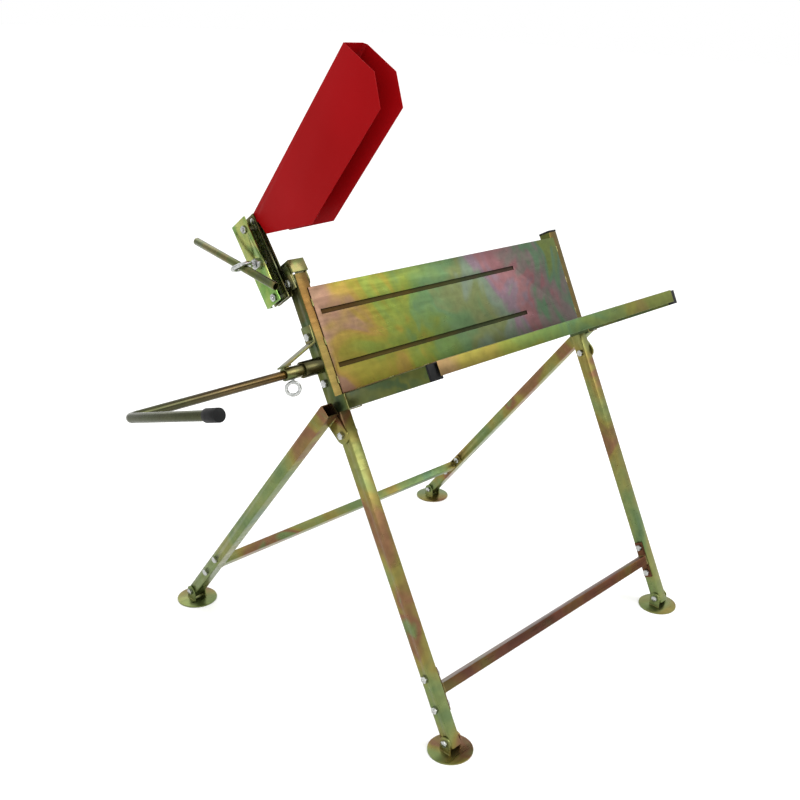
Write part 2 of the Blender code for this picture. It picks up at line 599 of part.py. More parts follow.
def saw_holder(holder, jaw, screw, tommy, front):
    """Bracket that straddles the upright, two jaws, bridge plate and clamp screw. Local -Y is b and +Z is w."""
    wall_out, fixed_in, fixed_out, moving_in, moving_out, bridge_in, bridge_out = jaw_x()
    right_in = -HALF + UPRIGHT_HALF + GAP
    right_out = right_in + BRACKET_SHEET
    web_in = BRACKET_FRONT - BRACKET_SHEET
    side_shapes = []
    for x_low, x_high in ((wall_out, wall_out + BRACKET_SHEET), (right_in, right_out)):
        side_shapes.append(box((x_low, -BRACKET_FRONT, 0), (x_high, -BRACKET_BACK, BRACKET_TOP)))
        side_shapes.append(rod((x_low, 0, 0), (x_high, 0, 0), -BRACKET_BOTTOM))
    web = box((wall_out, -BRACKET_FRONT, BRACKET_WEB_START), (right_out, -web_in, BRACKET_TOP))
    pivot_hole = hole_x(wall_out, right_out, 0, 0)
    trim = box(
        (wall_out - WALL, -2 * BRACKET_FRONT, -BRACKET_TOP), (right_out + WALL, BRACKET_BOTTOM, BRACKET_WEB_START)
    )
    piece("holder_bracket", "zinc", holder, solid([*side_shapes, web], [pivot_hole, trim]))

    tie_ws = [SCREW_W - TIE_SPREAD / 2, SCREW_W + TIE_SPREAD / 2]
    main = box((fixed_out, -JAW_FRONT, JAW_BOTTOM), (fixed_in, -JAW_BACK, FIXED_JAW_TOP))
    ear = box((fixed_out, -FIXED_EAR_FRONT, BRACKET_BOTTOM), (fixed_in, -JAW_FRONT + JAW_THICKNESS, FIXED_EAR_TOP))
    holes = [hole_x(fixed_out, fixed_in, -SCREW_B, w) for w in tie_ws]
    holes.append(hole_x(fixed_out, fixed_in, 0, 0))
    piece("fixed_jaw", "zinc", holder, solid([main, ear], holes))

    bridge = box((bridge_out, -BRIDGE_FRONT, JAW_BOTTOM), (bridge_in, -BRIDGE_BACK, JAW_TOP))
    flange = box(
        (bridge_out, -BRIDGE_BACK - BRACKET_SHEET, JAW_BOTTOM), (bridge_in + BRIDGE_FLANGE, -BRIDGE_BACK, JAW_TOP)
    )
    holes = [hole_x(bridge_out, bridge_in, -SCREW_B, w) for w in tie_ws]
    holes.append(hole_x(bridge_out, bridge_in, -SCREW_B, SCREW_W, CLAMP_SCREW_RADIUS))
    piece("bridge_plate", "zinc", holder, solid([bridge, flange], holes))
    for w, height in zip(tie_ws, ("low", "high")):
        tie_bolt = bolt_x(fixed_in, bridge_out, -SCREW_B, w, thick=THIN_HEAD)
        piece(f"tie_bolt_{height}", "bolt", holder, tie_bolt)
    nut_in = bridge_out - GAP
    nut_out = nut_in - CLAMP_NUT_LENGTH
    nut = rod((nut_in, -SCREW_B, SCREW_W), (nut_out, -SCREW_B, SCREW_W), CLAMP_NUT_RADIUS, 6)
    piece("clamp_nut", "bolt", holder, solid([nut], [hole_x(nut_out, nut_in, -SCREW_B, SCREW_W, CLAMP_SCREW_RADIUS)]))

    pivot_bolt = bolt_x(fixed_out, right_out, 0, HOLDER_STATION, thick=THIN_HEAD)
    piece("holder_pivot_bolt", "bolt", front, pivot_bolt)

    plate = box((moving_out, -JAW_FRONT, JAW_BOTTOM), (moving_in, -JAW_BACK, JAW_TOP))
    holes = [hole_x(moving_out, moving_in, -SCREW_B, w) for w in tie_ws]
    holes.append(hole_x(moving_out, moving_in, -GUARD_B, GUARD_W, GUARD_BOLT_RADIUS))
    piece("moving_jaw", "zinc", jaw, solid([plate], holes))
    wall = moving_in + GAP + GUARD_SHEET
    guard_bolt = bolt_x(
        moving_out, wall, -GUARD_B, GUARD_W, GUARD_BOLT_RADIUS, GUARD_HEAD_RADIUS, GUARD_SHEET, GUARD_SHEET / 2
    )
    piece("guard_bolt", "bolt", jaw, guard_bolt)

    # Clamp screw on its own axis: x is kept from the stack, y and z are from the screw's line.
    ring_x = nut_out - CLAMP_RING_OUT
    drop = math.radians(TOMMY_DROP)
    through = Vector((0, -math.cos(drop), -math.sin(drop)))
    stem = rod((moving_out - GAP, 0, 0), (ring_x + CLAMP_RING_RADIUS, 0, 0), CLAMP_SCREW_RADIUS, HOLE_SIDES)
    # The loose tube wedges in the ring, which stands at a slant to it: one gap at its top, one at its underside.
    slant = math.acos((TOMMY_RADIUS + CLAMP_RING_WIRE + GAP) / CLAMP_RING_RADIUS)
    ring_axis = Matrix.Rotation(slant, 3, "X") @ -through
    eye = ring((ring_x, 0, 0), ring_axis, CLAMP_RING_RADIUS, CLAMP_RING_WIRE)
    piece("clamp_screw", "bolt", screw, solid([stem, eye]), smooth=True)
    middle = Vector((ring_x, 0, 0))
    back, ahead = middle - through * TOMMY_BACK, middle + through * (TOMMY_LENGTH - TOMMY_BACK)
    tube = rod(back, ahead, TOMMY_RADIUS, 20)
    bore = rod(back - through * WALL, ahead + through * WALL, TOMMY_BORE, 20)
    piece("tommy_bar", "zinc", tommy, solid([tube], [bore]), smooth=True)


def guard(axis):
    """Folded sheet guard, a channel open below and at both ends. Local -Y runs along it and -Z is down."""
    moving_in = jaw_x()[3]
    near = moving_in + GAP
    far = near + GUARD_WIDTH
    outer = [
        (near - GUARD_FLARE, -GUARD_DEPTH * 1.2), (near, -GUARD_CREASE), (near, -GUARD_ROOF),
        (far - GUARD_CHAMFER, -GUARD_ROOF), (far, -GUARD_ROOF - GUARD_CHAMFER * 0.8),
        (far, -GUARD_CREASE), (far + GUARD_FLARE, -GUARD_DEPTH * 1.2),
    ]
    sheet = GUARD_SHEET
    inner = [
        (near + sheet - GUARD_FLARE, -GUARD_DEPTH * 1.3), (near + sheet, -GUARD_CREASE),
        (near + sheet, -GUARD_ROOF - sheet), (far - GUARD_CHAMFER - sheet / 2, -GUARD_ROOF - sheet),
        (far - sheet, -GUARD_ROOF - GUARD_CHAMFER * 0.8 - sheet / 2), (far - sheet, -GUARD_CREASE),
        (far - sheet + GUARD_FLARE, -GUARD_DEPTH * 1.3),
    ]

    def channel(profile, start, end):
        shape = bmesh.new()
        face = shape.faces.new([shape.verts.new((x, start, z)) for x, z in profile])
        grown = bmesh.ops.extrude_face_region(shape, geom=[face])
        moved = [item for item in grown["geom"] if isinstance(item, bmesh.types.BMVert)]
        bmesh.ops.translate(shape, vec=(0, end - start, 0), verts=moved)
        bmesh.ops.recalc_face_normals(shape, faces=shape.faces)
        return shape

    long = GUARD_LENGTH + 2 * GUARD_NOSE
    outline = [
        (GUARD_TAB, -GUARD_ROOF + sheet), (-GUARD_LENGTH, -GUARD_ROOF + sheet),
        (-GUARD_LENGTH - GUARD_NOSE, -GUARD_CREASE), (-GUARD_LENGTH + GUARD_NOSE, -GUARD_DEPTH),
        (-GUARD_FOOT, -GUARD_DEPTH), (-GUARD_HEEL_OUT, -GUARD_HEEL), (-GUARD_HEEL_OUT, -GUARD_TAB_DROP),
        (GUARD_TAB, -GUARD_TAB_DROP),
    ]
    side_view = prism(outline, near - GUARD_WIDTH, far + GUARD_WIDTH)
    hinge = hole_x(near, near + sheet, 0, 0, GUARD_BOLT_RADIUS)
    # The roof and the far side start ahead of the jaws, so that only the near side reaches the hinge.
    relief = box((near + sheet, -GUARD_NOSE, -GUARD_DEPTH), (far + GUARD_WIDTH, 2 * GUARD_TAB, GUARD_DEPTH))
    shape = solid(
        [channel(outer, GUARD_TAB * 2, -long)],
        [channel(inner, GUARD_TAB * 3, -long - GUARD_NOSE), hinge, relief],
        [side_view],
    )
    piece("guard", "red", axis, shape)


def centre_on_base(root):
    """Moves the whole stand so that the origin is under the middle of its box."""
    bpy.context.view_layer.update()
    graph = bpy.context.evaluated_depsgraph_get()
    low, high = Vector((9, 9, 9)), Vector((-9, -9, -9))
    for obj in bpy.context.scene.objects:
        if obj.type == "EMPTY":
            continue
        evaluated = obj.evaluated_get(graph)
        mesh = evaluated.to_mesh()
        for vertex in mesh.vertices:
            place = evaluated.matrix_world @ vertex.co
            low = Vector(map(min, low, place))
            high = Vector(map(max, high, place))
        evaluated.to_mesh_clear()
    middle = (low + high) / 2
    root.location = (-middle.x, -middle.y, -low.z)
    bpy.context.view_layer.update()


def build():
    clear_scene()
    root = empty("stand", None, (0, 0, 0))
    front = empty("front_frame", root, (0, FRONT_FOOT_Y, 0), -FRONT_LEAN)
    foot = uprights_and_legs(front)
    trough(front)
    brace("front_brace", front, FRONT_BRACE_STATION, HALF - TUBE_HALF)
    rear = empty("axis_rear_fold", root, (0, *front_point(FOLD_STATION)), REAR_LEAN)
    rear_foot = rear_frame(rear)
    for side, name in ((-1, "left"), (1, "right")):
        axis = empty(f"axis_foot_front_{name}", front, (side * HALF, 0, foot), FRONT_LEAN)
        foot_pad(f"foot_pad_front_{name}", axis)
        axis = empty(f"axis_foot_rear_{name}", rear, (side * REAR_X, FOLD_OFFSET, rear_foot), -REAR_LEAN)
        foot_pad(f"foot_pad_rear_{name}", axis)

    rod_line = front_point(ROD_STATION)
    slide = empty("axis_stop_rod", root, (0, *rod_line))
    stop_screw = empty("axis_stop_screw", root, (SLEEVE_MIDDLE, *rod_line))
    length_stop(front, slide, stop_screw)

    holder = empty("axis_holder", root, (0, *front_point(HOLDER_STATION)), -HOLDER_LEAN)
    jaw = empty("axis_jaw", holder, (0, 0, 0))
    screw = empty("axis_clamp_screw", jaw, (0, -SCREW_B, SCREW_W))
    tommy = empty("axis_tommy", screw, (0, 0, 0))
    saw_holder(holder, jaw, screw, tommy, front)
    hinge = empty("axis_guard", jaw, (0, -GUARD_B, GUARD_W), HOLDER_LEAN - GUARD_LEAN)
    guard(hinge)
    centre_on_base(root)


build()
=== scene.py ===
"""Looks of a folding log cutting stand: yellow zinc-plated tube and sheet, a red guard and black end caps.

Every piece keeps the place and size of its solid. X runs along the trough, -Y is the front and +Z is up.
"""

import json
import logging
import math
from dataclasses import dataclass
from enum import Enum
from typing import Iterable, Optional, Union

import bmesh
import bpy
from mathutils import Matrix, Vector

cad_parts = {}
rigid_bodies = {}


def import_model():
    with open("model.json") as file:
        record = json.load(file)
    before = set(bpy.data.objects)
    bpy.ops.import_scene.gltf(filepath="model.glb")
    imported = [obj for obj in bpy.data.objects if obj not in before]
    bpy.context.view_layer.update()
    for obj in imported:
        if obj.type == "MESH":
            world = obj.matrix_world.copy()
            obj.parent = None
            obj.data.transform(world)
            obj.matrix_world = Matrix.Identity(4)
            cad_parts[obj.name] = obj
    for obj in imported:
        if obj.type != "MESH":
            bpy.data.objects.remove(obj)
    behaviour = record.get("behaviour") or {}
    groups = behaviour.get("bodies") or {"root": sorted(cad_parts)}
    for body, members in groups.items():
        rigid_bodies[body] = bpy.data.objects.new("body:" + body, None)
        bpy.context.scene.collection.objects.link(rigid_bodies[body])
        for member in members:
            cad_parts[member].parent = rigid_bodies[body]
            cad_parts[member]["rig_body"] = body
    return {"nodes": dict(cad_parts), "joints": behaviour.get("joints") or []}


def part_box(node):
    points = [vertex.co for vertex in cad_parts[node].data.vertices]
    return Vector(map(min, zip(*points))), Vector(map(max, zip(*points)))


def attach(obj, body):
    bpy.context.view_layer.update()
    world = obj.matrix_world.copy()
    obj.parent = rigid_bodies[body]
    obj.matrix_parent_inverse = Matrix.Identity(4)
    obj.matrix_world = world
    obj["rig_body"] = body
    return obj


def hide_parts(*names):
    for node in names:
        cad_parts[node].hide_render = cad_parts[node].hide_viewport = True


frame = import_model()
LOG = logging.getLogger("log_stand")

Socket = bpy.types.NodeSocket
Colour = tuple[float, float, float, float]
Triple = tuple[float, float, float]
Pair = tuple[float, float]

WHITE: Colour = (1.0, 1.0, 1.0, 1.0)

# Left and right along X.
SIDES = ((-1, "left"), (1, "right"))

# The photograph's width and height; the camera's focal length and centre are in the same pixels.
IMAGE = 800

# Places from the CAD's own origin, in metres. The frame's origin lies elsewhere, so main shifts them.
FOLD_AXIS: Triple = (0, -0.02294, 0.5587)
CAMERA: Triple = (-1.50852, -1.27995, 1.27637)
FRONT_FOOT_Y = -0.3205

# How far the legs lean from upright, in degrees.
FRONT_LEAN = 28.04
REAR_LEAN = -38.75

# Where the bands of colour start and end along X, in metres, on the plates and on the stop's rod.
PLATE_RUN: Pair = (-0.19, 0.53)
ROD_RUN: Pair = (-0.62, -0.22)

# Most of a noise's values lie between these two.
NOISE_LOW = 0.3
NOISE_HIGH = 0.7

# Corners nearer than MERGE metres become one, and faces that bend by less than FLAT degrees become one.
MERGE = 2e-6
FLAT = 0.6

# Heights that differ by less than this, in metres, are the same level.
LEVEL = 1e-7

# Faces that meet at more than SHARP degrees get a radius; under SMOOTH degrees they are shaded as one.
SHARP = 28.0
SMOOTH = 32.0

# The shortest edge, in metres, that counts as long, such as a tube's corner.
LONG_EDGE = 0.08

# Bevels: the profile of a round one, and the segments of a broken edge and of a rolled one.
ROUND = 0.5
BROKEN_STEPS = 2
ROLLED_STEPS = 3

# Sides of a round bar, of a ring's wire and of the ring itself.
BAR_SIDES = 32
WIRE_SIDES = 20
RING_SIDES = 64

# A thread in shares of its pitch: the tooth's depth, where its crest starts and ends, the core's depth under
# the crest, and how near two points become one.
TOOTH_DEPTH = 0.55
TOOTH_CREST: Pair = (0.4, 0.6)
CORE_DEPTH = 0.5
TOOTH_MERGE = 0.02

# A bolt head or nut: points round it, its chamfer in degrees and the share of its width that stays flat. In
# shares of its radius, the inset that makes the flat, and the limit between the flat's points and the rim's.
HEX_SIDES = 48
HEX_CHAMFER = 30.0
HEX_FLAT = 0.95
HEX_INSET = 0.1
HEX_RIM = 0.97


def srgb(code: str) -> Colour:
    """Turns a screen colour into the linear colour that shaders use, by the sRGB standard's curve.

    Args:
        code: Six hexadecimal digits.

    Returns:
        Linear red, green, blue and alpha.
    """
    parts = [int(code[i:i + 2], 16) / 255 for i in (0, 2, 4)]
    return (*(c / 12.92 if c <= 0.04045 else ((c + 0.055) / 1.055) ** 2.4 for c in parts), 1.0)


class Blend(Enum):
    """How two colours are mixed."""

    MIX = "MIX"
    MULTIPLY = "MULTIPLY"


class Steps(Enum):
    """How a ramp goes from one stop to the next."""

    SPLINE = "B_SPLINE"
    EASE = "EASE"
    LINEAR = "LINEAR"


@dataclass(frozen=True)
class Pattern:
    """One noise over a piece's own coordinates.

    Scale is in cycles per metre, detail adds finer layers, swirl distorts them, levels are what the usual
    low and high values become, and a small stretch draws the pattern out along an axis.
    """

    scale: float
    detail: float = 3.0
    swirl: float = 0.0
    levels: Pair = (0.0, 1.0)
    stretch: Triple = (1.0, 1.0, 1.0)


@dataclass(frozen=True)
class Relief:
    """Bump from a noise.

    Scale and detail are a pattern's. Depth is in metres, from the noise's lowest to its highest value.
    """

    scale: float
    detail: float
    depth: float
    strength: float


class Graph:
    """A small wrapper round a node tree."""

    def __init__(self, tree: bpy.types.NodeTree, space: str) -> None:
        """Wraps a tree, and adds the coordinates that its patterns lie in."""
        self.tree = tree
        self.space = self.add("ShaderNodeTexCoord").outputs[space]

    def add(self, kind: str, links: Optional[dict] = None, **values: object) -> bpy.types.Node:
        """Adds a node.

        Args:
            kind: The node's type name.
            links: Input name or index to the output that feeds it.
            values: Node properties, or input values where the name is an input's with spaces as underscores.

        Returns:
            The new node.
        """
        node = self.tree.nodes.new(kind)
        for key, value in values.items():
            label = key.replace("_", " ")
            if label in node.inputs and not hasattr(node, key):
                node.inputs[label].default_value = value
            else:
                setattr(node, key, value)
        for key, source in (links or {}).items():
            self.tree.links.new(source, node.inputs[key])
        return node

    def noise(self, pattern: Pattern) -> Socket:
        """Adds a noise.

        Args:
            pattern: Its scale, detail, swirl and stretch.

        Returns:
            The noise's value.
        """
        mapped = self.add("ShaderNodeMapping", {"Vector": self.space}, Scale=pattern.stretch)
        values = {"Scale": pattern.scale, "Detail": pattern.detail, "Distortion": pattern.swirl}
        return self.add("ShaderNodeTexNoise", {"Vector": mapped.outputs[0]}, **values).outputs["Fac"]

    def ramp(self, source: Socket, stops: Iterable[tuple[float, Colour]],
             steps: Steps = Steps.SPLINE) -> Socket:
        """Adds a colour ramp.

        Args:
            source: The value that picks a place on the ramp.
            stops: Place and colour of each stop, in order.
            steps: How the ramp goes from one stop to the next.

        Returns:
            The picked colour.
        """
        node = self.add("ShaderNodeValToRGB", {"Fac": source})
        node.color_ramp.interpolation = steps.value
        stops = list(stops)
        elements = node.color_ramp.elements
        while len(elements) < len(stops):
            elements.new(0.5)
        for element, (place, colour) in zip(elements, stops):
            element.position = place
            element.color = colour
        return node.outputs["Color"]

    def spread(self, source: Socket, low: float, high: float, start: float, end: float) -> Socket:
        """Maps a range of values onto another.

        Args:
            source: The value.
            low: The value that gives start.
            high: The value that gives end.
            start: What low becomes.
            end: What high becomes.

        Returns:
            The mapped value.
        """
        values = {"From_Min": low, "From_Max": high, "To_Min": start, "To_Max": end}
        return self.add("ShaderNodeMapRange", {"Value": source}, **values).outputs["Result"]

    def span(self, pattern: Pattern) -> Socket:
        """A noise with its usual values mapped to the pattern's levels."""
        return self.spread(self.noise(pattern), NOISE_LOW, NOISE_HIGH, *pattern.levels)

    def blend(self, share: Union[Socket, float], first: Socket, second: Union[Socket, Colour],
              how: Blend) -> Socket:
        """Mixes two colours.

        Args:
            share: How much of the second colour shows.
            first: The colour below.
            second: The colour above.
            how: How they are mixed.

        Returns:
            The mixed colour.
        """
        node = self.add("ShaderNodeMix", data_type="RGBA", blend_type=how.value)
        for key, value in (("Factor", share), ("A", first), ("B", second)):
            sockets = [socket for socket in node.inputs if socket.name == key and socket.enabled]
            if isinstance(value, Socket):
                self.tree.links.new(value, sockets[0])
            else:
                sockets[0].default_value = value
        return next(socket for socket in node.outputs if socket.enabled)

    def tone(self, colour: Socket, factors: Triple) -> Socket:
        """Multiplies a colour's red, green and blue by three factors."""
        return self.blend(1.0, colour, (*factors, 1.0), Blend.MULTIPLY)

    def bump(self, relief: Relief, base: Optional[Socket] = None) -> Socket:
        """Adds bump.

        Args:
            relief: Its noise and depth.
            base: A normal that the bump is laid over.

        Returns:
            The bumped normal.
        """
        links = {"Height": self.noise(Pattern(relief.scale, relief.detail))}
        if base is not None:
            links["Normal"] = base
        node = self.add("ShaderNodeBump", links, Distance=relief.depth, Strength=relief.strength)
        return node.outputs["Normal"]


class Paint(Graph):
    """One material's nodes."""

    def __init__(self, name: str) -> None:
        """Starts a material of this name."""
        self.material = bpy.data.materials.new(name)
        self.material.use_nodes = True
        super().__init__(self.material.node_tree, "Object")
        self.shader = self.tree.nodes["Principled BSDF"]

    def feed(self, name: str, source: Socket) -> None:
        """Links an output to one of the shader's inputs."""
        self.tree.links.new(source, self.shader.inputs[name])

    def fix(self, name: str, value: float) -> None:
        """Sets one of the shader's inputs."""
        self.shader.inputs[name].default_value = value


@dataclass(frozen=True)
class YellowZinc:
    """Yellow-passivated zinc plate: bands of colour drift over the metal as on a thin oil film.

    Drift and swirl are the scale and swirl of the noise that lays or bends the bands, run is where they
    start and end along X, or None where they only drift, depth darkens them, and the streaks' roughness lies
    about shine.
    """

    name: str
    colours: tuple[str, ...]
    drift: float = 7.0
    swirl: float = 1.2
    shine: float = 0.30
    run: Optional[Pair] = None
    depth: float = 0.6
    band_detail: float = 2.5
    drift_range: Pair = (0.28, 0.72)
    wander: float = 0.15
    slant: float = 0.05
    slant_heights: Pair = (0.6, 0.9)
    patches: Pattern = Pattern(24.0, 5.0, 0.8, (0.0, 0.42))
    patch_tone: Triple = (0.72, 0.95, 0.80)
    clouds: Pattern = Pattern(55.0, 5.0, 0.4, (0.86, 1.10))
    specks: Pattern = Pattern(900.0, 2.0)
    speck_stops: tuple[Pair, Pair] = ((0.70, 0.0), (0.78, 0.10))
    speck_colour: str = "C9C39A"
    metal: float = 0.94
    streaks: Pattern = Pattern(120.0, 3.0, 0.0, (-0.05, 0.10), (0.12, 1.0, 1.0))
    waves: Relief = Relief(20.0, 1.0, 0.0003, 0.5)
    grain: Relief = Relief(700.0, 2.0, 0.00001, 0.5)

    def bands(self, graph: Graph) -> Socket:
        """Lays the rainbow bands, which follow X where there is a run, and lean with the height there.

        Args:
            graph: The material's graph.

        Returns:
            The bands' colour.
        """
        place = graph.noise(Pattern(self.drift, self.band_detail, self.swirl))
        low, high = self.drift_range
        if self.run:
            axes = graph.add("ShaderNodeSeparateXYZ", {"Vector": graph.space})
            along = graph.spread(axes.outputs["X"], *self.run, 0.0, 1.0)
            slant = graph.spread(axes.outputs["Z"], *self.slant_heights, -self.slant, self.slant)
            straight = graph.add("ShaderNodeMath", {0: along, 1: slant}).outputs[0]
            bend = graph.spread(place, NOISE_LOW, NOISE_HIGH, -self.wander, self.wander)
            place = graph.add("ShaderNodeMath", {0: straight, 1: bend}).outputs[0]
            low, high = 0.0, 1.0
        step = (high - low) / (len(self.colours) - 1)
        stops = [(low + step * number, srgb(colour)) for number, colour in enumerate(self.colours)]
        film = graph.ramp(place, stops, Steps.EASE)
        return graph.tone(film, (self.depth, self.depth, self.depth))

    def make(self) -> bpy.types.Material:
        """Builds the material.

        Returns:
            The material.
        """
        graph = Paint(self.name)
        bands = self.bands(graph)
        # Patches where the film is thicker are greener and darker.
        film = graph.blend(graph.span(self.patches), bands, graph.tone(bands, self.patch_tone), Blend.MIX)
        cloudy = graph.span(self.clouds)
        grey = graph.add("ShaderNodeCombineColor", {"Red": cloudy, "Green": cloudy, "Blue": cloudy})
        film = graph.blend(1.0, film, grey.outputs[0], Blend.MULTIPLY)
        # Pale dust-like specks where the plating is thin.
        stops = [(place, (share, share, share, 1.0)) for place, share in self.speck_stops]
        specks = graph.ramp(graph.noise(self.specks), stops, Steps.LINEAR)
        graph.feed("Base Color", graph.blend(specks, film, srgb(self.speck_colour), Blend.MIX))
        graph.fix("Metallic", self.metal)
        # Rolled steel under the plating: soft streaks in gloss, and a very shallow waviness.
        levels = [self.shine + change for change in self.streaks.levels]
        graph.feed("Roughness", graph.spread(graph.noise(self.streaks), NOISE_LOW, NOISE_HIGH, *levels))
        graph.feed("Normal", graph.bump(self.grain, graph.bump(self.waves)))
        return graph.material


@dataclass(frozen=True)
class BrightZinc:
    """Clear zinc plate on bolts: cool grey with a spangle and slightly uneven gloss."""

    name: str = "bright_zinc"
    light: str = "C4C6C4"
    dark: str = "8F918E"
    cells: float = 420.0
    cell_places: Pair = (0.1, 0.9)
    gloss: Pattern = Pattern(240.0, levels=(0.18, 0.36))
    grain: Relief = Relief(500.0, 1.0, 0.000008, 0.5)

    def make(self) -> bpy.types.Material:
        """Builds the material.

        Returns:
            The material.
        """
        graph = Paint(self.name)
        spangle = graph.add("ShaderNodeTexVoronoi", {"Vector": graph.space}, Scale=self.cells)
        stops = zip(self.cell_places, (srgb(self.dark), srgb(self.light)))
        graph.feed("Base Color", graph.ramp(spangle.outputs["Distance"], stops, Steps.LINEAR))
        graph.fix("Metallic", 1.0)
        graph.feed("Roughness", graph.span(self.gloss))
        graph.feed("Normal", graph.bump(self.grain))
        return graph.material


@dataclass(frozen=True)
class Coat:
    """A coat or moulding without metal in it: two near tones, uneven gloss and a grain.

    Tones mixes the two screen colours, and its levels are the values that give each one alone.
    """

    name: str
    colours: tuple[str, str]
    tones: Pattern
    gloss: Pattern
    reflection: float
    grain: Relief

    def make(self) -> bpy.types.Material:
        """Builds the material.

        Returns:
            The material.
        """
        graph = Paint(self.name)
        stops = zip(self.tones.levels, (srgb(colour) for colour in self.colours))
        graph.feed("Base Color", graph.ramp(graph.noise(self.tones), stops))
        graph.feed("Roughness", graph.span(self.gloss))
        graph.fix("Specular IOR Level", self.reflection)
        graph.feed("Normal", graph.bump(self.grain))
        return graph.material


class Finish(Enum):
    """The stand's finishes."""

    TROUGH = YellowZinc(
        "zinc_trough",
        ("9E7864", "A28440", "968A38", "86903E", "748C50", "6E8A5E", "82885A", "84907C", "967C88", "A87478",
         "92807C", "729270", "869448"),
        drift=6.5, swirl=1.4, shine=0.32, run=PLATE_RUN, depth=0.41,
    )
    FLOOR = YellowZinc(
        "zinc_floor",
        ("9C7C54", "9A8A3E", "8A8E3C", "748C4A", "6A8858", "7C8A48", "8E8A3C", "8C7E40", "868C40"),
        drift=7.5, swirl=1.0, shine=0.32, run=PLATE_RUN, depth=0.56,
    )
    # Painted shade in the back plate's pressed grooves: a darker, browner zinc.
    GROOVE_SHADE = YellowZinc(
        "zinc_groove_shade", ("5A3E18", "5C4A1C", "4A4620", "3A4024", "46342A", "5A3032"),
        drift=9.0, swirl=0.6, shine=0.42, run=PLATE_RUN, depth=0.42,
    )
    TUBE = YellowZinc(
        "zinc_tube", ("6C8664", "7A8E5C", "8A965E", "98985A", "A0904E", "986E50", "80905C"),
        drift=6.5, swirl=0.7, depth=0.62,
    )
    UPRIGHT = YellowZinc(
        "zinc_upright", ("A87840", "B08044", "A8864A", "9C8446", "A87048"),
        drift=5.0, swirl=0.6, shine=0.26, depth=0.30,
    )
    BRACE = YellowZinc(
        "zinc_brace", ("84804C", "947C44", "9A6C44", "945C48", "84523E", "847A50"),
        drift=7.0, swirl=0.6, depth=0.34,
    )
    # The cross tubes' zinc, which also paints shade on the uprights' flat sides.
    CROSS_AND_SIDE_SHADE = YellowZinc(
        "zinc_cross_and_side_shade", ("4C583C", "58643C", "6A6E38", "50603C", "5E5C34"),
        drift=12.0, swirl=0.8, shine=0.34, depth=0.62,
    )
    CLAMP = YellowZinc(
        "zinc_clamp", ("5E5C40", "68643E", "746A44", "62683E", "5C6046", "706844"),
        drift=16.0, swirl=1.0, shine=0.24, depth=0.85,
    )
    BRIDGE = YellowZinc(
        "zinc_bridge", ("7C9A4C", "98AC5C", "76984E", "B0B268", "849A5C"),
        drift=14.0, swirl=0.6, shine=0.22, depth=0.85,
    )
    ROD = YellowZinc(
        "zinc_rod", ("5C5E42", "5E5C40", "685C40", "7A6644", "7C6240", "906A34", "66603E"),
        drift=6.0, swirl=0.6, shine=0.24, run=ROD_RUN, depth=0.50,
    )
    BOLT = BrightZinc()
    WELD = YellowZinc(
        "zinc_weld", ("8C8A5A", "A8A468", "8E7A4C", "B4AE78"), drift=60.0, swirl=0.4, shine=0.26, depth=0.8
    )
    # Powder coat on the guard: deep red, with an orange-peel skin and a satin sheen.
    RED = Coat(
        "red_powder_coat", ("860508", "92080E"), Pattern(5.0, 2.0, levels=(0.35, 0.65)),
        Pattern(60.0, levels=(0.34, 0.46)), 0.05, Relief(650.0, 1.5, 0.00006, 0.7),
    )
    # Moulded caps: nearly black, satin, with a fine spark-eroded grain.
    BLACK = Coat(
        "black_moulding", ("090A0A", "141516"), Pattern(130.0, 4.0, levels=(0.45, 0.75)),
        Pattern(90.0, levels=(0.46, 0.62)), 0.16, Relief(1500.0, 2.0, 0.00004, 0.8),
    )


MADE: dict[Finish, bpy.types.Material] = {}


def material(finish: Finish) -> bpy.types.Material:
    """Makes a finish's material on first use.

    Args:
        finish: The finish.

    Returns:
        Its material.
    """
    if finish not in MADE:
        MADE[finish] = finish.value.make()
    return MADE[finish]


def cleaned(node: str) -> bmesh.types.BMesh:
    """Copies a solid's surface, with its split corners joined and its flat faces whole again.

    Args:
        node: The solid's name.

    Returns:
        A mesh in the stand's own frame.
    """
    shape = bmesh.new()
    shape.from_mesh(frame["nodes"][node].data)
    bmesh.ops.remove_doubles(shape, verts=shape.verts, dist=MERGE)
    bmesh.ops.dissolve_limit(shape, angle_limit=math.radians(FLAT), verts=shape.verts, edges=shape.edges)
    return shape


def placed(name: str, shape: bmesh.types.BMesh, finish: Finish, body: str) -> bpy.types.Object:
    """Turns a mesh into a finished piece that rides on a body.

    Args:
        name: The piece's name.
        shape: Its mesh, in the stand's frame; it is freed.
        finish: The piece's finish.
        body: The body that carries it.

    Returns:
        The new object.
    """
    mesh = bpy.data.meshes.new(name)
    shape.to_mesh(mesh)
    shape.free()
    mesh.shade_smooth()
    mesh.set_sharp_from_angle(angle=math.radians(SMOOTH))
    made = bpy.data.objects.new(name, mesh)
    bpy.context.scene.collection.objects.link(made)
    mesh.materials.append(material(finish))
    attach(made, body)
    LOG.info("%s: %d faces on %s", name, len(mesh.polygons), body)
    return made


def sharp_edges(shape: bmesh.types.BMesh) -> list[bmesh.types.BMEdge]:
    """The edges where two faces meet at more than SHARP degrees."""
    limit = math.radians(SHARP)
    return [edge for edge in shape.edges if edge.is_manifold and edge.calc_face_angle(0.0) > limit]


def soften(shape: bmesh.types.BMesh, edges: list[bmesh.types.BMEdge], radius: float, steps: int) -> None:
    """Gives some of a mesh's edges a radius of so many segments, or less of it where there is no room."""
    bmesh.ops.bevel(
        shape, geom=edges, offset=radius, offset_type="OFFSET", segments=steps, profile=ROUND,
        affect="EDGES", clamp_overlap=True, material=-1,
    )


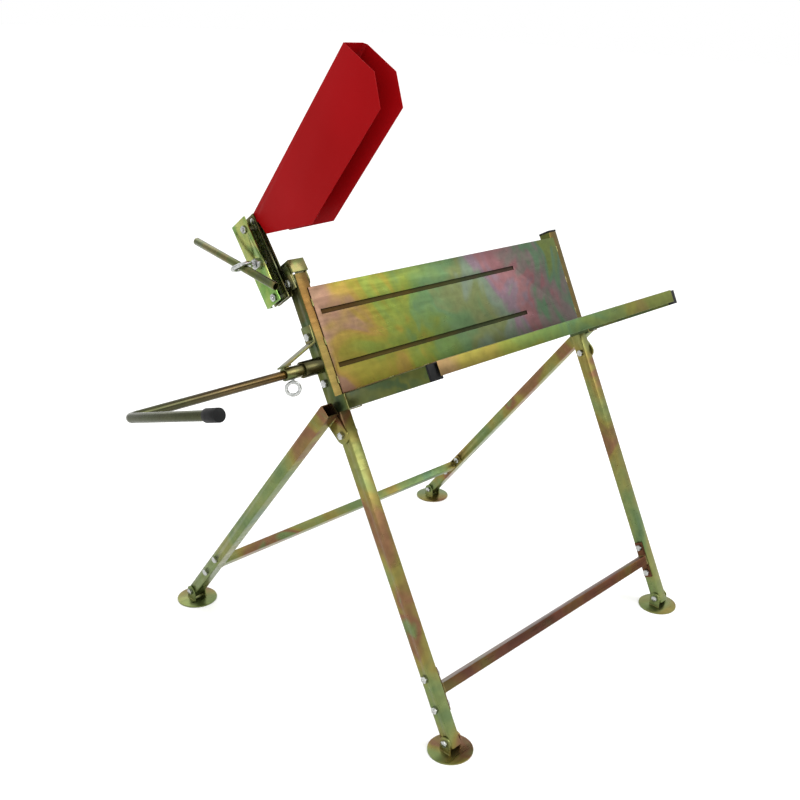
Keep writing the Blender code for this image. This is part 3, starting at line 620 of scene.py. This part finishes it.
def rounded(node: str, finish: Finish, long_radius: float, radius: float) -> bpy.types.Object:
    """Gives a solid its rolled or broken edges, and stands for it.

    Args:
        node: The solid's name.
        finish: The piece's finish.
        long_radius: Radius along its long edges; long inner corners stay as they are.
        radius: Radius on every other sharp edge.

    Returns:
        The finished piece.
    """
    shape = cleaned(node)
    for is_long, size, steps in ((True, long_radius, ROLLED_STEPS), (False, radius, BROKEN_STEPS)):
        picked = [
            edge for edge in sharp_edges(shape)
            if (edge.calc_length() >= LONG_EDGE) == is_long and (edge.is_convex or not is_long)
        ]
        if picked and size > 0:
            soften(shape, picked, size, steps)
    body = frame["nodes"][node]["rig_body"]
    made = placed(f"{node}_finished", shape, finish, body)
    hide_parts(node)
    return made


@dataclass(frozen=True)
class Space:
    """A leaning frame in the stand, whose local Z runs up a pair of legs or across a brace.

    Its lean is in degrees about X.
    """

    origin: Vector
    lean: float

    def at(self, x: float, y: float, z: float) -> Vector:
        """The place in the stand of a local point."""
        turned = Matrix.Rotation(math.radians(-self.lean), 3, "X") @ Vector((0, y, z))
        return self.origin + Vector((x, turned.y, turned.z))

    def local(self, place: Vector) -> Vector:
        """The local place of a point in the stand."""
        return Matrix.Rotation(math.radians(self.lean), 3, "X") @ (place - self.origin)


def joint(name: str) -> dict:
    """A joint's entry in the frame."""
    return next(entry for entry in frame["joints"] if entry["name"] == name)


def joint_place(name: str) -> Vector:
    """Where a joint's axis passes."""
    return Vector(joint(name)["pos_m"])


def turn_to(axis: Vector) -> Matrix:
    """The rotation that takes +Z to an axis."""
    return Vector((0, 0, 1)).rotation_difference(axis.normalized()).to_matrix().to_4x4()


def joined(shapes: Iterable[bmesh.types.BMesh]) -> bmesh.types.BMesh:
    """Puts several meshes into one.

    Args:
        shapes: The meshes, which are freed.

    Returns:
        The one mesh.
    """
    whole = bmesh.new()
    for shape in shapes:
        holder = bpy.data.meshes.new("holder")
        shape.to_mesh(holder)
        shape.free()
        whole.from_mesh(holder)
        bpy.data.meshes.remove(holder)
    return whole


def bar(start: Vector, end: Vector, radius: float, tip: float = 0.0) -> bmesh.types.BMesh:
    """Makes a round bar.

    Args:
        start: Centre of one end.
        end: Centre of the other end.
        radius: The bar's radius.
        tip: Chamfer round both ends.

    Returns:
        The mesh.
    """
    shape = bmesh.new()
    bmesh.ops.create_cone(
        shape, cap_ends=True, segments=BAR_SIDES, radius1=radius, radius2=radius, depth=(end - start).length
    )
    if tip:
        # The edges of both end faces are level.
        rims = [edge for edge in shape.edges if abs(edge.verts[0].co.z - edge.verts[1].co.z) < LEVEL]
        bmesh.ops.bevel(shape, geom=rims, offset=tip, segments=BROKEN_STEPS, profile=ROUND, affect="EDGES")
    place = Matrix.Translation((start + end) / 2) @ turn_to(end - start)
    bmesh.ops.transform(shape, matrix=place, verts=shape.verts)
    return shape


def thread(start: Vector, end: Vector, radius: float, pitch: float, sides: int = 20) -> bmesh.types.BMesh:
    """Makes a rolled thread: one tooth, spun and raised about the line from start to end.

    Args:
        start: Where the thread starts on its axis.
        end: Where it ends.
        radius: Radius of its crest.
        pitch: Rise of one turn.
        sides: Steps of one turn.

    Returns:
        The mesh.
    """
    shape = bmesh.new()
    root = radius - TOOTH_DEPTH * pitch
    crest_start, crest_end = TOOTH_CREST
    bmesh.ops.create_grid(shape, x_segments=1, y_segments=1, size=0.5)
    bmesh.ops.delete(shape, geom=list(shape.faces), context="FACES_ONLY")
    corners = sorted(shape.verts, key=lambda vertex: (vertex.co.x, vertex.co.y))
    tooth = ((root, 0.0), (radius, crest_start), (root, 1.0), (radius, crest_end))
    for vertex, (out, up) in zip(corners, tooth):
        vertex.co = (out, 0, up * pitch)
    # The edge from root to root would close the tooth against the core.
    limit = crest_end * pitch
    across = [edge for edge in shape.edges if abs((edge.verts[0].co - edge.verts[1].co).z) > limit]
    bmesh.ops.delete(shape, geom=across, context="EDGES")
    turns = max(1.0, (end - start).length / pitch - 1.0)
    steps = int(turns * sides)
    bmesh.ops.spin(
        shape, geom=shape.verts[:] + shape.edges[:], cent=(0, 0, 0), axis=(0, 0, 1),
        dvec=(0, 0, turns * pitch / steps), angle=2 * math.pi * turns, steps=steps,
    )
    bmesh.ops.remove_doubles(shape, verts=shape.verts, dist=pitch * TOOTH_MERGE)
    bmesh.ops.recalc_face_normals(shape, faces=shape.faces)
    bmesh.ops.transform(shape, matrix=Matrix.Translation(start) @ turn_to(end - start), verts=shape.verts)
    return shape


def torus(centre: Vector, axis: Vector, radius: float, wire: float) -> bmesh.types.BMesh:
    """Makes a smooth ring.

    Args:
        centre: Its centre.
        axis: Its axis.
        radius: From the centre to the middle of the wire.
        wire: The wire's radius.

    Returns:
        The mesh.
    """
    shape = bmesh.new()
    bmesh.ops.create_circle(shape, segments=WIRE_SIDES, radius=wire)
    stand = Matrix.Translation((radius, 0, 0)) @ Matrix.Rotation(math.pi / 2, 4, "X")
    bmesh.ops.transform(shape, matrix=stand, verts=shape.verts)
    bmesh.ops.spin(
        shape, geom=shape.edges[:], cent=(0, 0, 0), axis=(0, 0, 1), angle=2 * math.pi, steps=RING_SIDES,
        use_merge=True,
    )
    bmesh.ops.recalc_face_normals(shape, faces=shape.faces)
    bmesh.ops.transform(shape, matrix=Matrix.Translation(centre) @ turn_to(axis), verts=shape.verts)
    return shape


def hexagon(x_seat: float, x_free: float, centre: Vector, radius: float, turn: float,
            both: bool) -> bmesh.types.BMesh:
    """Makes a bolt head or nut along X, with the corners of its free face turned off to a cone.

    Args:
        x_seat: The face on the work.
        x_free: The free face.
        centre: A point on the axis.
        radius: To the hexagon's corners.
        turn: Angle of one corner about X.
        both: The seat's corners are turned off too, as on a nut.

    Returns:
        The mesh.
    """
    height = abs(x_free - x_seat)
    flat = radius * math.cos(math.pi / 6)
    small = flat * HEX_FLAT
    shape = bmesh.new()
    bmesh.ops.create_cone(
        shape, cap_ends=True, segments=HEX_SIDES, radius1=radius, radius2=radius, depth=height
    )
    for cap in [face for face in shape.faces if len(face.verts) > 4]:
        if cap.calc_center_median().z > 0 or both:
            bmesh.ops.inset_region(shape, faces=[cap], thickness=radius * HEX_INSET)
    for vertex in shape.verts:
        angle = math.atan2(vertex.co.y, vertex.co.x)
        inner = vertex.co.xy.length < radius * HEX_RIM
        high = vertex.co.z > 0
        rim = flat / math.cos((angle % (math.pi / 3)) - math.pi / 6)
        out = small if inner else rim
        turned_off = (high or both) and not inner
        drop = (out - small) * math.tan(math.radians(HEX_CHAMFER)) if turned_off else 0.0
        level = height / 2 - drop
        vertex.co = (out * math.cos(angle), out * math.sin(angle), level if high else -level)
    way = 1 if x_free > x_seat else -1
    place = Matrix.Translation(((x_seat + x_free) / 2, centre.y, centre.z)) @ turn_to(Vector((way, 0, 0)))
    bmesh.ops.transform(shape, matrix=place @ Matrix.Rotation(turn, 4, "Z"), verts=shape.verts)
    return shape


@dataclass
class HexBolt:
    """A bolt through tube walls along X, with its nut and the end of its thread."""

    node: str
    pitch: float = 0.00125
    tip: float = 0.0006
    # How far the shank reaches into head and nut.
    sink: float = 0.0005
    thread_sink: float = 0.0004
    thread_end: float = 0.0002
    # A short end gets a finer thread, so that this many turns fit.
    least_turns: float = 2.2

    def build(self) -> None:
        """Reads the solid's own faces, and makes the finished bolt on them."""
        mesh = frame["nodes"][self.node].data
        low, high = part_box(self.node)
        centre = (Vector(low) + Vector(high)) / 2
        # The solid's points, grouped by their X to a tenth of a millimetre.
        levels: dict[float, list[Vector]] = {}
        for vertex in mesh.vertices:
            levels.setdefault(round(vertex.co.x, 4), []).append(vertex.co.copy())
        faces = sorted(levels)
        reach = [max((point - centre).yz.length for point in levels[x]) for x in faces]
        if reach[0] < reach[-1]:
            faces.reverse()
            reach.reverse()
        head, seat, nut_seat, nut, end = faces[0], faces[1], faces[-3], faces[-2], faces[-1]
        radius, shank = reach[0], reach[-1]
        corner = max(levels[head], key=lambda point: (point - centre).yz.length) - centre
        turn = math.atan2(corner.y, corner.z)

        def on_axis(x: float) -> Vector:
            """The bolt's axis at one X."""
            return Vector((x, centre.y, centre.z))

        way = 1 if end > head else -1
        pitch = min(self.pitch, abs(end - nut) / self.least_turns)
        core = shank - self.pitch * CORE_DEPTH
        first, last = on_axis(nut - way * self.thread_sink), on_axis(end - way * self.thread_end)
        shape = joined([
            hexagon(seat, head, centre, radius, turn, False),
            hexagon(nut_seat, nut, centre, radius, turn, True),
            bar(on_axis(seat - way * self.sink), on_axis(nut_seat + way * self.sink), shank),
            bar(on_axis(nut - way * self.sink), on_axis(end), core, self.tip),
            thread(first, last, shank, pitch),
        ])
        made = placed(f"{self.node}_finished", shape, Finish.BOLT, frame["nodes"][self.node]["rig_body"])
        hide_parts(self.node)


@dataclass
class WeldBead:
    """A run of weld: a thin rod whose thickness ripples as the puddles overlap."""

    name: str
    path: list[Vector]
    body: str
    radius: float = 0.0013
    step: float = 0.0009
    # Share of the radius where the bead is thinnest, and the ripple's turn at each step in radians.
    thin: float = 0.74
    ripple: float = 1.1
    smoothness: int = 3

    def build(self) -> None:
        """Makes the bead along its path."""
        points = []
        for start, end in zip(self.path, self.path[1:]):
            count = max(2, int((end - start).length / self.step))
            points += [start.lerp(end, number / count) for number in range(count)]
        points.append(self.path[-1])
        curve = bpy.data.curves.new(self.name, "CURVE")
        curve.dimensions = "3D"
        curve.bevel_depth = self.radius
        curve.bevel_resolution = self.smoothness
        curve.use_fill_caps = True
        spline = curve.splines.new("POLY")
        spline.points.add(len(points) - 1)
        for index, (point, place) in enumerate(zip(spline.points, points)):
            point.co = (*place, 1.0)
            point.radius = self.thin + (1.0 - self.thin) * math.sin(index * self.ripple) ** 2
        curve.materials.append(material(Finish.WELD))
        made = bpy.data.objects.new(self.name, curve)
        bpy.context.scene.collection.objects.link(made)
        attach(made, self.body)
        LOG.info("%s: weld of %d steps", self.name, len(points))


def square(half: float) -> list[Pair]:
    """A square's corners, from the upper left one down and round to the upper right one."""
    return [(-half, half), (-half, -half), (half, -half), (half, half)]


@dataclass
class Tubing:
    """Legs, uprights, cross tubes and braces: rolled corners, painted shade on the uprights' flat sides, and
    the welds between them.
    """

    front: Space
    rear: Space
    corner: float = 0.0022
    cut_edge: float = 0.0003
    brace_corner: float = 0.0016
    spacing: float = 0.3665
    stub_face: float = -0.0429
    cross: float = 0.689
    weld_drop: float = 0.0012
    cross_half: float = 0.0145
    brace_half: float = 0.010
    brace_bead: float = 0.0011
    end_plate: float = 0.0033
    lug_x: float = 0.3834
    lug_edge: float = 0.0301
    lug_half: float = 0.014
    # A face whose normal has more X than this lies on a tube's side, and gets painted shade.
    shade_side_on: float = 0.7

    def build(self) -> None:
        """Finishes every tube, then lays the welds."""
        for _, side in SIDES:
            for node in (f"front_leg_{side}", f"rear_leg_{side}"):
                rounded(node, Finish.TUBE, self.corner, self.cut_edge)
            upright = rounded(f"upright_{side}", Finish.UPRIGHT, self.corner, self.cut_edge)
            # The uprights' flat sides get painted shade: the darker, greener zinc of the cross tubes, while
            # their fronts keep the lighter zinc.
            upright.data.materials.append(material(Finish.CROSS_AND_SIDE_SHADE))
            for face in upright.data.polygons:
                face.material_index = 1 if abs(face.normal.x) > self.shade_side_on else 0
            rounded(f"cross_tube_{side}", Finish.CROSS_AND_SIDE_SHADE, self.corner, self.cut_edge)
            rounded(f"fold_lug_{side}", Finish.TUBE, self.cut_edge, self.cut_edge)
        rounded("front_brace", Finish.BRACE, self.brace_corner, self.cut_edge)
        rounded("rear_brace", Finish.TUBE, self.brace_corner, self.cut_edge)
        self.corner_welds()
        self.lug_welds()
        self.brace_welds()

    def corner_welds(self) -> None:
        """Weld round each joint between an upright's stub and its cross tube; the upper side is bare."""
        level = self.cross - self.weld_drop
        turns = square(self.cross_half)
        for way, side in SIDES:
            x = way * self.spacing
            path = [self.front.at(x + aside, self.stub_face, level + up) for aside, up in turns]
            WeldBead(f"corner_weld_{side}", path if way < 0 else path[::-1], "frame").build()

    def lug_welds(self) -> None:
        """Weld down the front edge of each rear leg, on its fold lug."""
        for way, side in SIDES:
            ends = (-self.lug_half, self.lug_half)
            path = [self.rear.at(way * self.lug_x, self.lug_edge, z) for z in ends]
            WeldBead(f"lug_weld_{side}", path, "rear_frame").build()

    def brace_welds(self) -> None:
        """Weld round each end of both brace tubes, on their end plates."""
        turns = square(self.brace_half)
        braces = (("front_brace", self.front, "frame"), ("rear_brace", self.rear, "rear_frame"))
        for node, space, body in braces:
            low, high = (Vector(corner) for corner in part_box(node))
            own = Space((low + high) / 2, space.lean)
            reach = (high.x - low.x) / 2 - self.end_plate
            for way, side in SIDES:
                path = [own.at(way * reach, ahead, up) for ahead, up in turns + turns[:1]]
                WeldBead(f"{node}_weld_{side}", path, body, self.brace_bead).build()


@dataclass
class Trough:
    """The two trough plates, with folded front lip, pressed grooves and tack welds at their ends.

    Sharp edges of a length within groove_lengths or groove_ends belong to the pressed grooves. A face
    belongs to them where it lies between groove_level and groove_floor deep and doesn't look backward.
    """

    front: Space
    sheet_edge: float = 0.0004
    groove_edge: float = 0.0009
    fold: float = 0.0012
    least_edge: float = 0.02
    groove_lengths: Pair = (0.5, 0.6)
    groove_ends: Pair = (0.0076, 0.0114)
    fold_level: float = 1e-4
    fold_near: float = 3e-4
    plate_end: float = 0.3621
    plate_face: float = -0.0150
    top: float = 0.7036
    groove_level: float = 0.0002
    groove_floor: float = 0.0022
    groove_facing: float = 0.3
    groove_heights: Pair = (0.052, 0.152)
    groove_half: float = 0.0055
    groove_margin: float = 0.003
    tack: float = 0.014
    back_tacks: Triple = (0.020, 0.092, 0.164)
    floor_tacks: Triple = (0.060, 0.150, 0.240)
    back_bead: float = 0.0016
    floor_bead: float = 0.0014
    floor_lift: float = 0.0006

    def build(self) -> None:
        """Finishes both plates, then lays the tacks."""
        self.plate("back_plate", Finish.TROUGH)
        self.plate("bottom_plate", Finish.FLOOR)
        for way, side in SIDES:
            x = way * self.plate_end
            for number, start in enumerate(self.back_tacks):
                ends = (start, start + self.tack)
                path = [self.front.at(x, self.plate_face, self.top + z) for z in ends]
                WeldBead(f"back_tack_{side}_{number}", path, "frame", self.back_bead).build()
            for number, start in enumerate(self.floor_tacks):
                ends = (start, start + self.tack)
                path = [self.front.at(x, -y, self.top + self.floor_lift) for y in ends]
                WeldBead(f"floor_tack_{side}_{number}", path, "frame", self.floor_bead).build()

    def plate(self, node: str, finish: Finish) -> None:
        """Breaks a plate's edges, and rounds its grooves and fold as a press leaves them.

        Args:
            node: The plate's name.
            finish: Its finish.
        """
        shape = cleaned(node)
        low, high = self.groove_lengths
        short, wide = self.groove_ends
        sharp = sharp_edges(shape)
        pressed = [
            edge for edge in sharp if low < edge.calc_length() < high or short < edge.calc_length() < wide
        ]
        rest = [edge for edge in sharp if edge not in pressed and edge.calc_length() > self.least_edge]
        folded = self.fold_edges(shape, rest) if node == "bottom_plate" else []
        plain = [edge for edge in rest if edge not in folded]
        for picked, size in ((pressed, self.groove_edge), (folded, self.fold), (plain, self.sheet_edge)):
            picked = [edge for edge in picked if edge.is_valid]
            if picked:
                soften(shape, picked, size, ROLLED_STEPS)
        # The back plate's grooves get painted shade.
        if node == "back_plate":
            self.darken(shape)
        made = placed(f"{node}_finished", shape, finish, "frame")
        # The second slot holds the painted shade of the grooves.
        made.data.materials.append(material(Finish.GROOVE_SHADE))
        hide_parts(node)

    def fold_edges(self, shape: bmesh.types.BMesh,
                   edges: list[bmesh.types.BMEdge]) -> list[bmesh.types.BMEdge]:
        """Finds the outer edge of the fold between the bottom plate and its lip.

        Args:
            shape: The bottom plate's mesh.
            edges: The edges to choose from.

        Returns:
            The fold's edges.
        """
        points = [self.front.local(vertex.co) for vertex in shape.verts]
        foremost = min(point.y for point in points)
        top = max(point.z for point in points if point.y < foremost + self.fold_level)
        line = Vector((foremost, top))

        def near(vertex: bmesh.types.BMVert) -> bool:
            """Whether a point lies on the fold's line."""
            return (self.front.local(vertex.co).yz - line).length < self.fold_near

        return [edge for edge in edges if all(near(vertex) for vertex in edge.verts)]

    def darken(self, shape: bmesh.types.BMesh) -> None:
        """Paints shade on the pressed grooves' floors and flanks, as a darker zinc.

        Args:
            shape: The back plate's mesh, which is changed.
        """
        face_y = min(self.front.local(vertex.co).y for vertex in shape.verts)
        reach = self.plate_end - self.groove_margin
        for face in shape.faces:
            centre = face.calc_center_median()
            middle = self.front.local(centre)
            outward = self.front.local(centre + face.normal) - middle
            deep = self.groove_level < middle.y - face_y < self.groove_floor
            inside = deep and outward.y < self.groove_facing
            height = middle.z - self.top
            near = any(abs(height - groove) < self.groove_half for groove in self.groove_heights)
            # Faces deep in a groove get the painted shade.
            if inside and near and abs(middle.x) < reach:
                face.material_index = 1


@dataclass
class Feet:
    """Pressed foot plates with their ears, welded on."""

    edge: float = 0.0005
    ear_face: float = 0.0164
    ear_half: float = 0.0125
    pad_top: float = -0.0202
    bead: float = 0.0012

    def build(self) -> None:
        """Finishes the four feet."""
        for row in ("front", "rear"):
            for _, side in SIDES:
                rounded(f"foot_pad_{row}_{side}", Finish.TUBE, self.edge, self.edge)
                body = f"foot_{row}_{side}"
                low, high = (Vector(corner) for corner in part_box(f"foot_pad_{row}_{side}"))
                middle = Vector(((low.x + high.x) / 2, *joint_place(f"{body}_tilt").yz))
                for way, name in ((-1, "outer"), (1, "inner")):
                    face = Vector((way * self.ear_face, 0, self.pad_top))
                    path = [middle + face + Vector((0, y, 0)) for y in (-self.ear_half, self.ear_half)]
                    WeldBead(f"{body}_weld_{name}", path, body, self.bead).build()


@dataclass
class LengthStop:
    """Rod, hub, sleeve, link and eye screw at the trough's left end."""

    front: Space
    edge: float = 0.0005
    cap_edge: float = 0.0015
    ring: float = 0.012
    wire: float = 0.0032
    ring_turn: float = 33.5
    stem: float = 0.003
    stem_core: float = 0.0004
    stem_tip: float = 0.0003
    stem_pitch: float = 0.0008
    sink: float = 0.001
    link_end: float = -0.461
    link_half: float = 0.0045
    link_rise: float = 0.7757
    link_weld: Pair = (0.0005, 0.0125)
    bead: float = 0.0011

    def build(self) -> None:
        """Finishes the length stop."""
        for node in ("stop_rod", "stop_hub"):
            rounded(node, Finish.ROD, 0.0, self.edge)
        for node in ("stop_sleeve", "stop_link"):
            rounded(node, Finish.CLAMP, self.edge, self.edge)
        rounded("stop_rod_cap", Finish.BLACK, 0.0, self.cap_edge)
        for way, side in ((-1, "front"), (1, "back")):
            y = way * self.link_half
            path = [self.front.at(self.link_end + x, y, self.link_rise) for x in self.link_weld]
            WeldBead(f"link_weld_{side}", path, "frame", self.bead).build()
        self.eye_screw()

    def eye_screw(self) -> None:
        """Screw with a bent eye under the sleeve."""
        low, high = (Vector(corner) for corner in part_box("stop_eye_screw"))
        axis = joint_place("stop_screw_turn")
        centre = Vector((axis.x, axis.y, low.z + self.ring + self.wire))
        top = Vector((axis.x, axis.y, high.z))
        turn = math.radians(self.ring_turn)
        stem_end = centre + Vector((0, 0, self.ring - self.sink))
        thread_end = centre + Vector((0, 0, self.ring + self.sink))
        shape = joined([
            torus(centre, Vector((math.sin(turn), math.cos(turn), 0)), self.ring, self.wire),
            bar(stem_end, top, self.stem - self.stem_core, self.stem_tip),
            thread(top, thread_end, self.stem, self.stem_pitch),
        ])
        body = frame["nodes"]["stop_eye_screw"]["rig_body"]
        made = placed("stop_eye_screw_finished", shape, Finish.BOLT, body)
        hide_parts("stop_eye_screw")


@dataclass
class SawClamp:
    """Bracket, jaws, bridge plate, clamp screw with its ring and the turning bar."""

    edge: float = 0.0005
    ring: float = 0.0165
    wire: float = 0.0035
    stem: float = 0.005
    tip: float = 0.0006
    pitch: float = 0.0015
    thread_start: float = 0.005
    thread_sides: int = 24
    neck: float = 0.0055
    neck_drop: float = 0.0004
    neck_tip: float = 0.0012
    tube: float = 0.007
    gap: float = 0.0003

    def build(self) -> None:
        """Finishes the clamp."""
        for node in ("holder_bracket", "fixed_jaw", "moving_jaw", "tommy_bar"):
            rounded(node, Finish.CLAMP, self.edge, self.edge)
        rounded("bridge_plate", Finish.BRIDGE, self.edge, self.edge)
        self.screw()

    def screw(self) -> None:
        """Screw with a ring that leans until the bar just passes through it."""
        axis = joint_place("clamp_turn")
        low, high = (Vector(corner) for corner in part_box("clamp_screw"))
        centre = Vector((low.x + self.ring + self.wire, axis.y, axis.z))
        along = Vector(joint("tommy_slide")["axis"])
        slant = math.acos((self.tube + self.wire + self.gap) / self.ring)
        ring_axis = Matrix.Rotation(slant, 3, "X") @ (along if along.y > 0 else -along)
        end = Vector((high.x, axis.y, axis.z))
        start = centre + Vector((self.ring, 0, 0))
        shape = joined([
            torus(centre, ring_axis, self.ring, self.wire),
            bar(start, end, self.stem - self.pitch * CORE_DEPTH, self.tip),
            bar(start, start + Vector((self.neck, 0, 0)), self.stem - self.neck_drop, self.neck_tip),
            thread(start + Vector((self.thread_start, 0, 0)), end, self.stem, self.pitch, self.thread_sides),
        ])
        made = placed("clamp_screw_finished", shape, Finish.BOLT, frame["nodes"]["clamp_screw"]["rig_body"])
        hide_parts("clamp_screw")


@dataclass
class Guard:
    """Folded sheet guard."""

    fold: float = 0.0011
    edge: float = 0.0003

    def build(self) -> None:
        """Finishes the guard."""
        rounded("guard", Finish.RED, self.fold, self.edge)


@dataclass
class Caps:
    """Moulded caps in the open tube ends."""

    edge: float = 0.0012

    def build(self) -> None:
        """Finishes the caps."""
        for tube in ("cross_tube_cap_left", "cross_tube_cap_right", "upright_cap_right",
                     "rear_leg_cap_right"):
            rounded(tube, Finish.BLACK, 0.0, self.edge)


@dataclass
class Fasteners:
    """Every bolt through the tubes, and the clamp's nut."""

    chamfer: float = 0.0006

    def build(self) -> None:
        """Finishes every solid that no piece stands for yet; apart from the nut, all of them are bolts."""
        for node in sorted(frame["nodes"]):
            if frame["nodes"][node].hide_render:
                continue
            if node == "clamp_nut":
                rounded(node, Finish.BOLT, 0.0, self.chamfer)
            else:
                HexBolt(node).build()


@dataclass(frozen=True)
class Lamp:
    """A square soft light that faces a point."""

    name: str
    place: Triple
    aim: Triple
    size: float
    watts: float

    def build(self) -> None:
        """Hangs the light."""
        data = bpy.data.lights.new(self.name, "AREA")
        data.size = self.size
        data.energy = self.watts
        made = bpy.data.objects.new(self.name, data)
        bpy.context.scene.collection.objects.link(made)
        made.location = self.place
        made.rotation_euler = (Vector(self.aim) - Vector(self.place)).to_track_quat("-Z", "Y").to_euler()


@dataclass
class Studio:
    """Pale floor, soft light and the camera."""

    place: Vector
    yaw: float = 49.59
    pitch: float = -25.50
    roll: float = 3.19
    focal: float = 1005.2
    # Where the camera's axis meets the photograph, in pixels.
    centre: Pair = (464.95, 482.35)
    sensor: float = 36.0
    floor_half: float = 30.0
    floor_colours: tuple[str, str] = ("FAFAF9", "FCFCFB")
    floor_tones: Pattern = Pattern(1.5, levels=(0.4, 0.6))
    floor_rough: float = 0.9
    bright_side: Triple = (0.62, -0.30, 0.72)
    dim: float = 0.60
    bright: float = 1.40
    # By the height of a look: white up to the first, the surroundings' own strength from the second.
    white_to: float = 0.22
    full_from: float = 0.50
    lamps: tuple[Lamp, ...] = (
        Lamp("key", (1.6, -2.4, 3.0), (0, 0, 0.5), 2.0, 55),
        Lamp("fill", (-2.6, -1.2, 1.8), (0, 0, 0.6), 2.6, 14),
        Lamp("back", (0.4, 3.0, 2.6), (0, 0, 0.7), 2.4, 22),
    )

    def build(self) -> None:
        """Makes the whole set."""
        self.floor()
        self.sky()
        for lamp in self.lamps:
            lamp.build()
        self.camera()

    def floor(self) -> None:
        """Lays the floor, with faint clouds so that it isn't one flat white."""
        shape = bmesh.new()
        bmesh.ops.create_grid(shape, x_segments=1, y_segments=1, size=self.floor_half)
        mesh = bpy.data.meshes.new("floor")
        shape.to_mesh(mesh)
        shape.free()
        floor = bpy.data.objects.new("floor", mesh)
        bpy.context.scene.collection.objects.link(floor)
        paint = Paint("floor_paint")
        stops = zip(self.floor_tones.levels, (srgb(colour) for colour in self.floor_colours))
        paint.feed("Base Color", paint.ramp(paint.noise(self.floor_tones), stops))
        paint.fix("Roughness", self.floor_rough)
        mesh.materials.append(paint.material)

    def sky(self) -> None:
        """White surroundings, brighter above and to the right, which give the plating its contrast."""
        world = bpy.data.worlds.new("studio")
        world.use_nodes = True
        graph = Graph(world.node_tree, "Generated")
        lean = graph.add("ShaderNodeVectorMath", {0: graph.space}, operation="DOT_PRODUCT")
        lean.inputs[1].default_value = self.bright_side
        level = graph.spread(lean.outputs["Value"], -1.0, 1.0, self.dim, self.bright)
        # Near the horizon the surroundings stay as white as the floor, so no line shows between them.
        height = graph.add("ShaderNodeSeparateXYZ", {0: graph.space}).outputs["Z"]
        above = graph.spread(height, self.white_to, self.full_from, 0.0, 1.0)
        above.node.interpolation_type = "SMOOTHSTEP"
        mix = graph.add("ShaderNodeMix", {"Factor": above, "B": level}, A=1.0).outputs["Result"]
        shown = graph.tree.nodes["Background"]
        graph.tree.links.new(mix, shown.inputs["Strength"])
        shown.inputs["Color"].default_value = WHITE
        bpy.context.scene.world = world

    def camera(self) -> None:
        """Puts the camera where the photograph was taken from."""
        data = bpy.data.cameras.new("camera")
        data.sensor_width = self.sensor
        data.lens = self.focal / IMAGE * data.sensor_width
        data.shift_x = -(self.centre[0] - IMAGE / 2) / IMAGE
        data.shift_y = (self.centre[1] - IMAGE / 2) / IMAGE
        made = bpy.data.objects.new("camera", data)
        bpy.context.scene.collection.objects.link(made)
        yaw, pitch, roll = (math.radians(angle) for angle in (self.yaw, self.pitch, self.roll))
        ahead = Vector((math.sin(yaw) * math.cos(pitch), math.cos(yaw) * math.cos(pitch), math.sin(pitch)))
        right = Vector((math.cos(yaw), -math.sin(yaw), 0))
        up = right.cross(ahead)
        side = math.cos(roll) * right + math.sin(roll) * up
        top = -math.sin(roll) * right + math.cos(roll) * up
        axes = Matrix((side, top, -ahead)).transposed()
        made.matrix_world = Matrix.Translation(self.place) @ axes.to_4x4()
        bpy.context.scene.camera = made


def main() -> None:
    """Builds the scene."""
    logging.basicConfig(level=logging.INFO, format="%(name)s %(message)s")
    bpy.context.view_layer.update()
    bpy.context.scene.view_settings.view_transform = "Standard"
    fold = joint_place("rear_fold")
    shift = fold - Vector(FOLD_AXIS)
    front = Space(Vector((shift.x, shift.y + FRONT_FOOT_Y, 0)), FRONT_LEAN)
    rear = Space(fold, REAR_LEAN)
    Studio(Vector((shift.x + CAMERA[0], shift.y + CAMERA[1], CAMERA[2]))).build()
    frames = (Tubing(front, rear), Trough(front), Feet(), LengthStop(front))
    for part in (*frames, SawClamp(), Guard(), Caps(), Fasteners()):
        part.build()


if __name__ == "__main__":
    main()
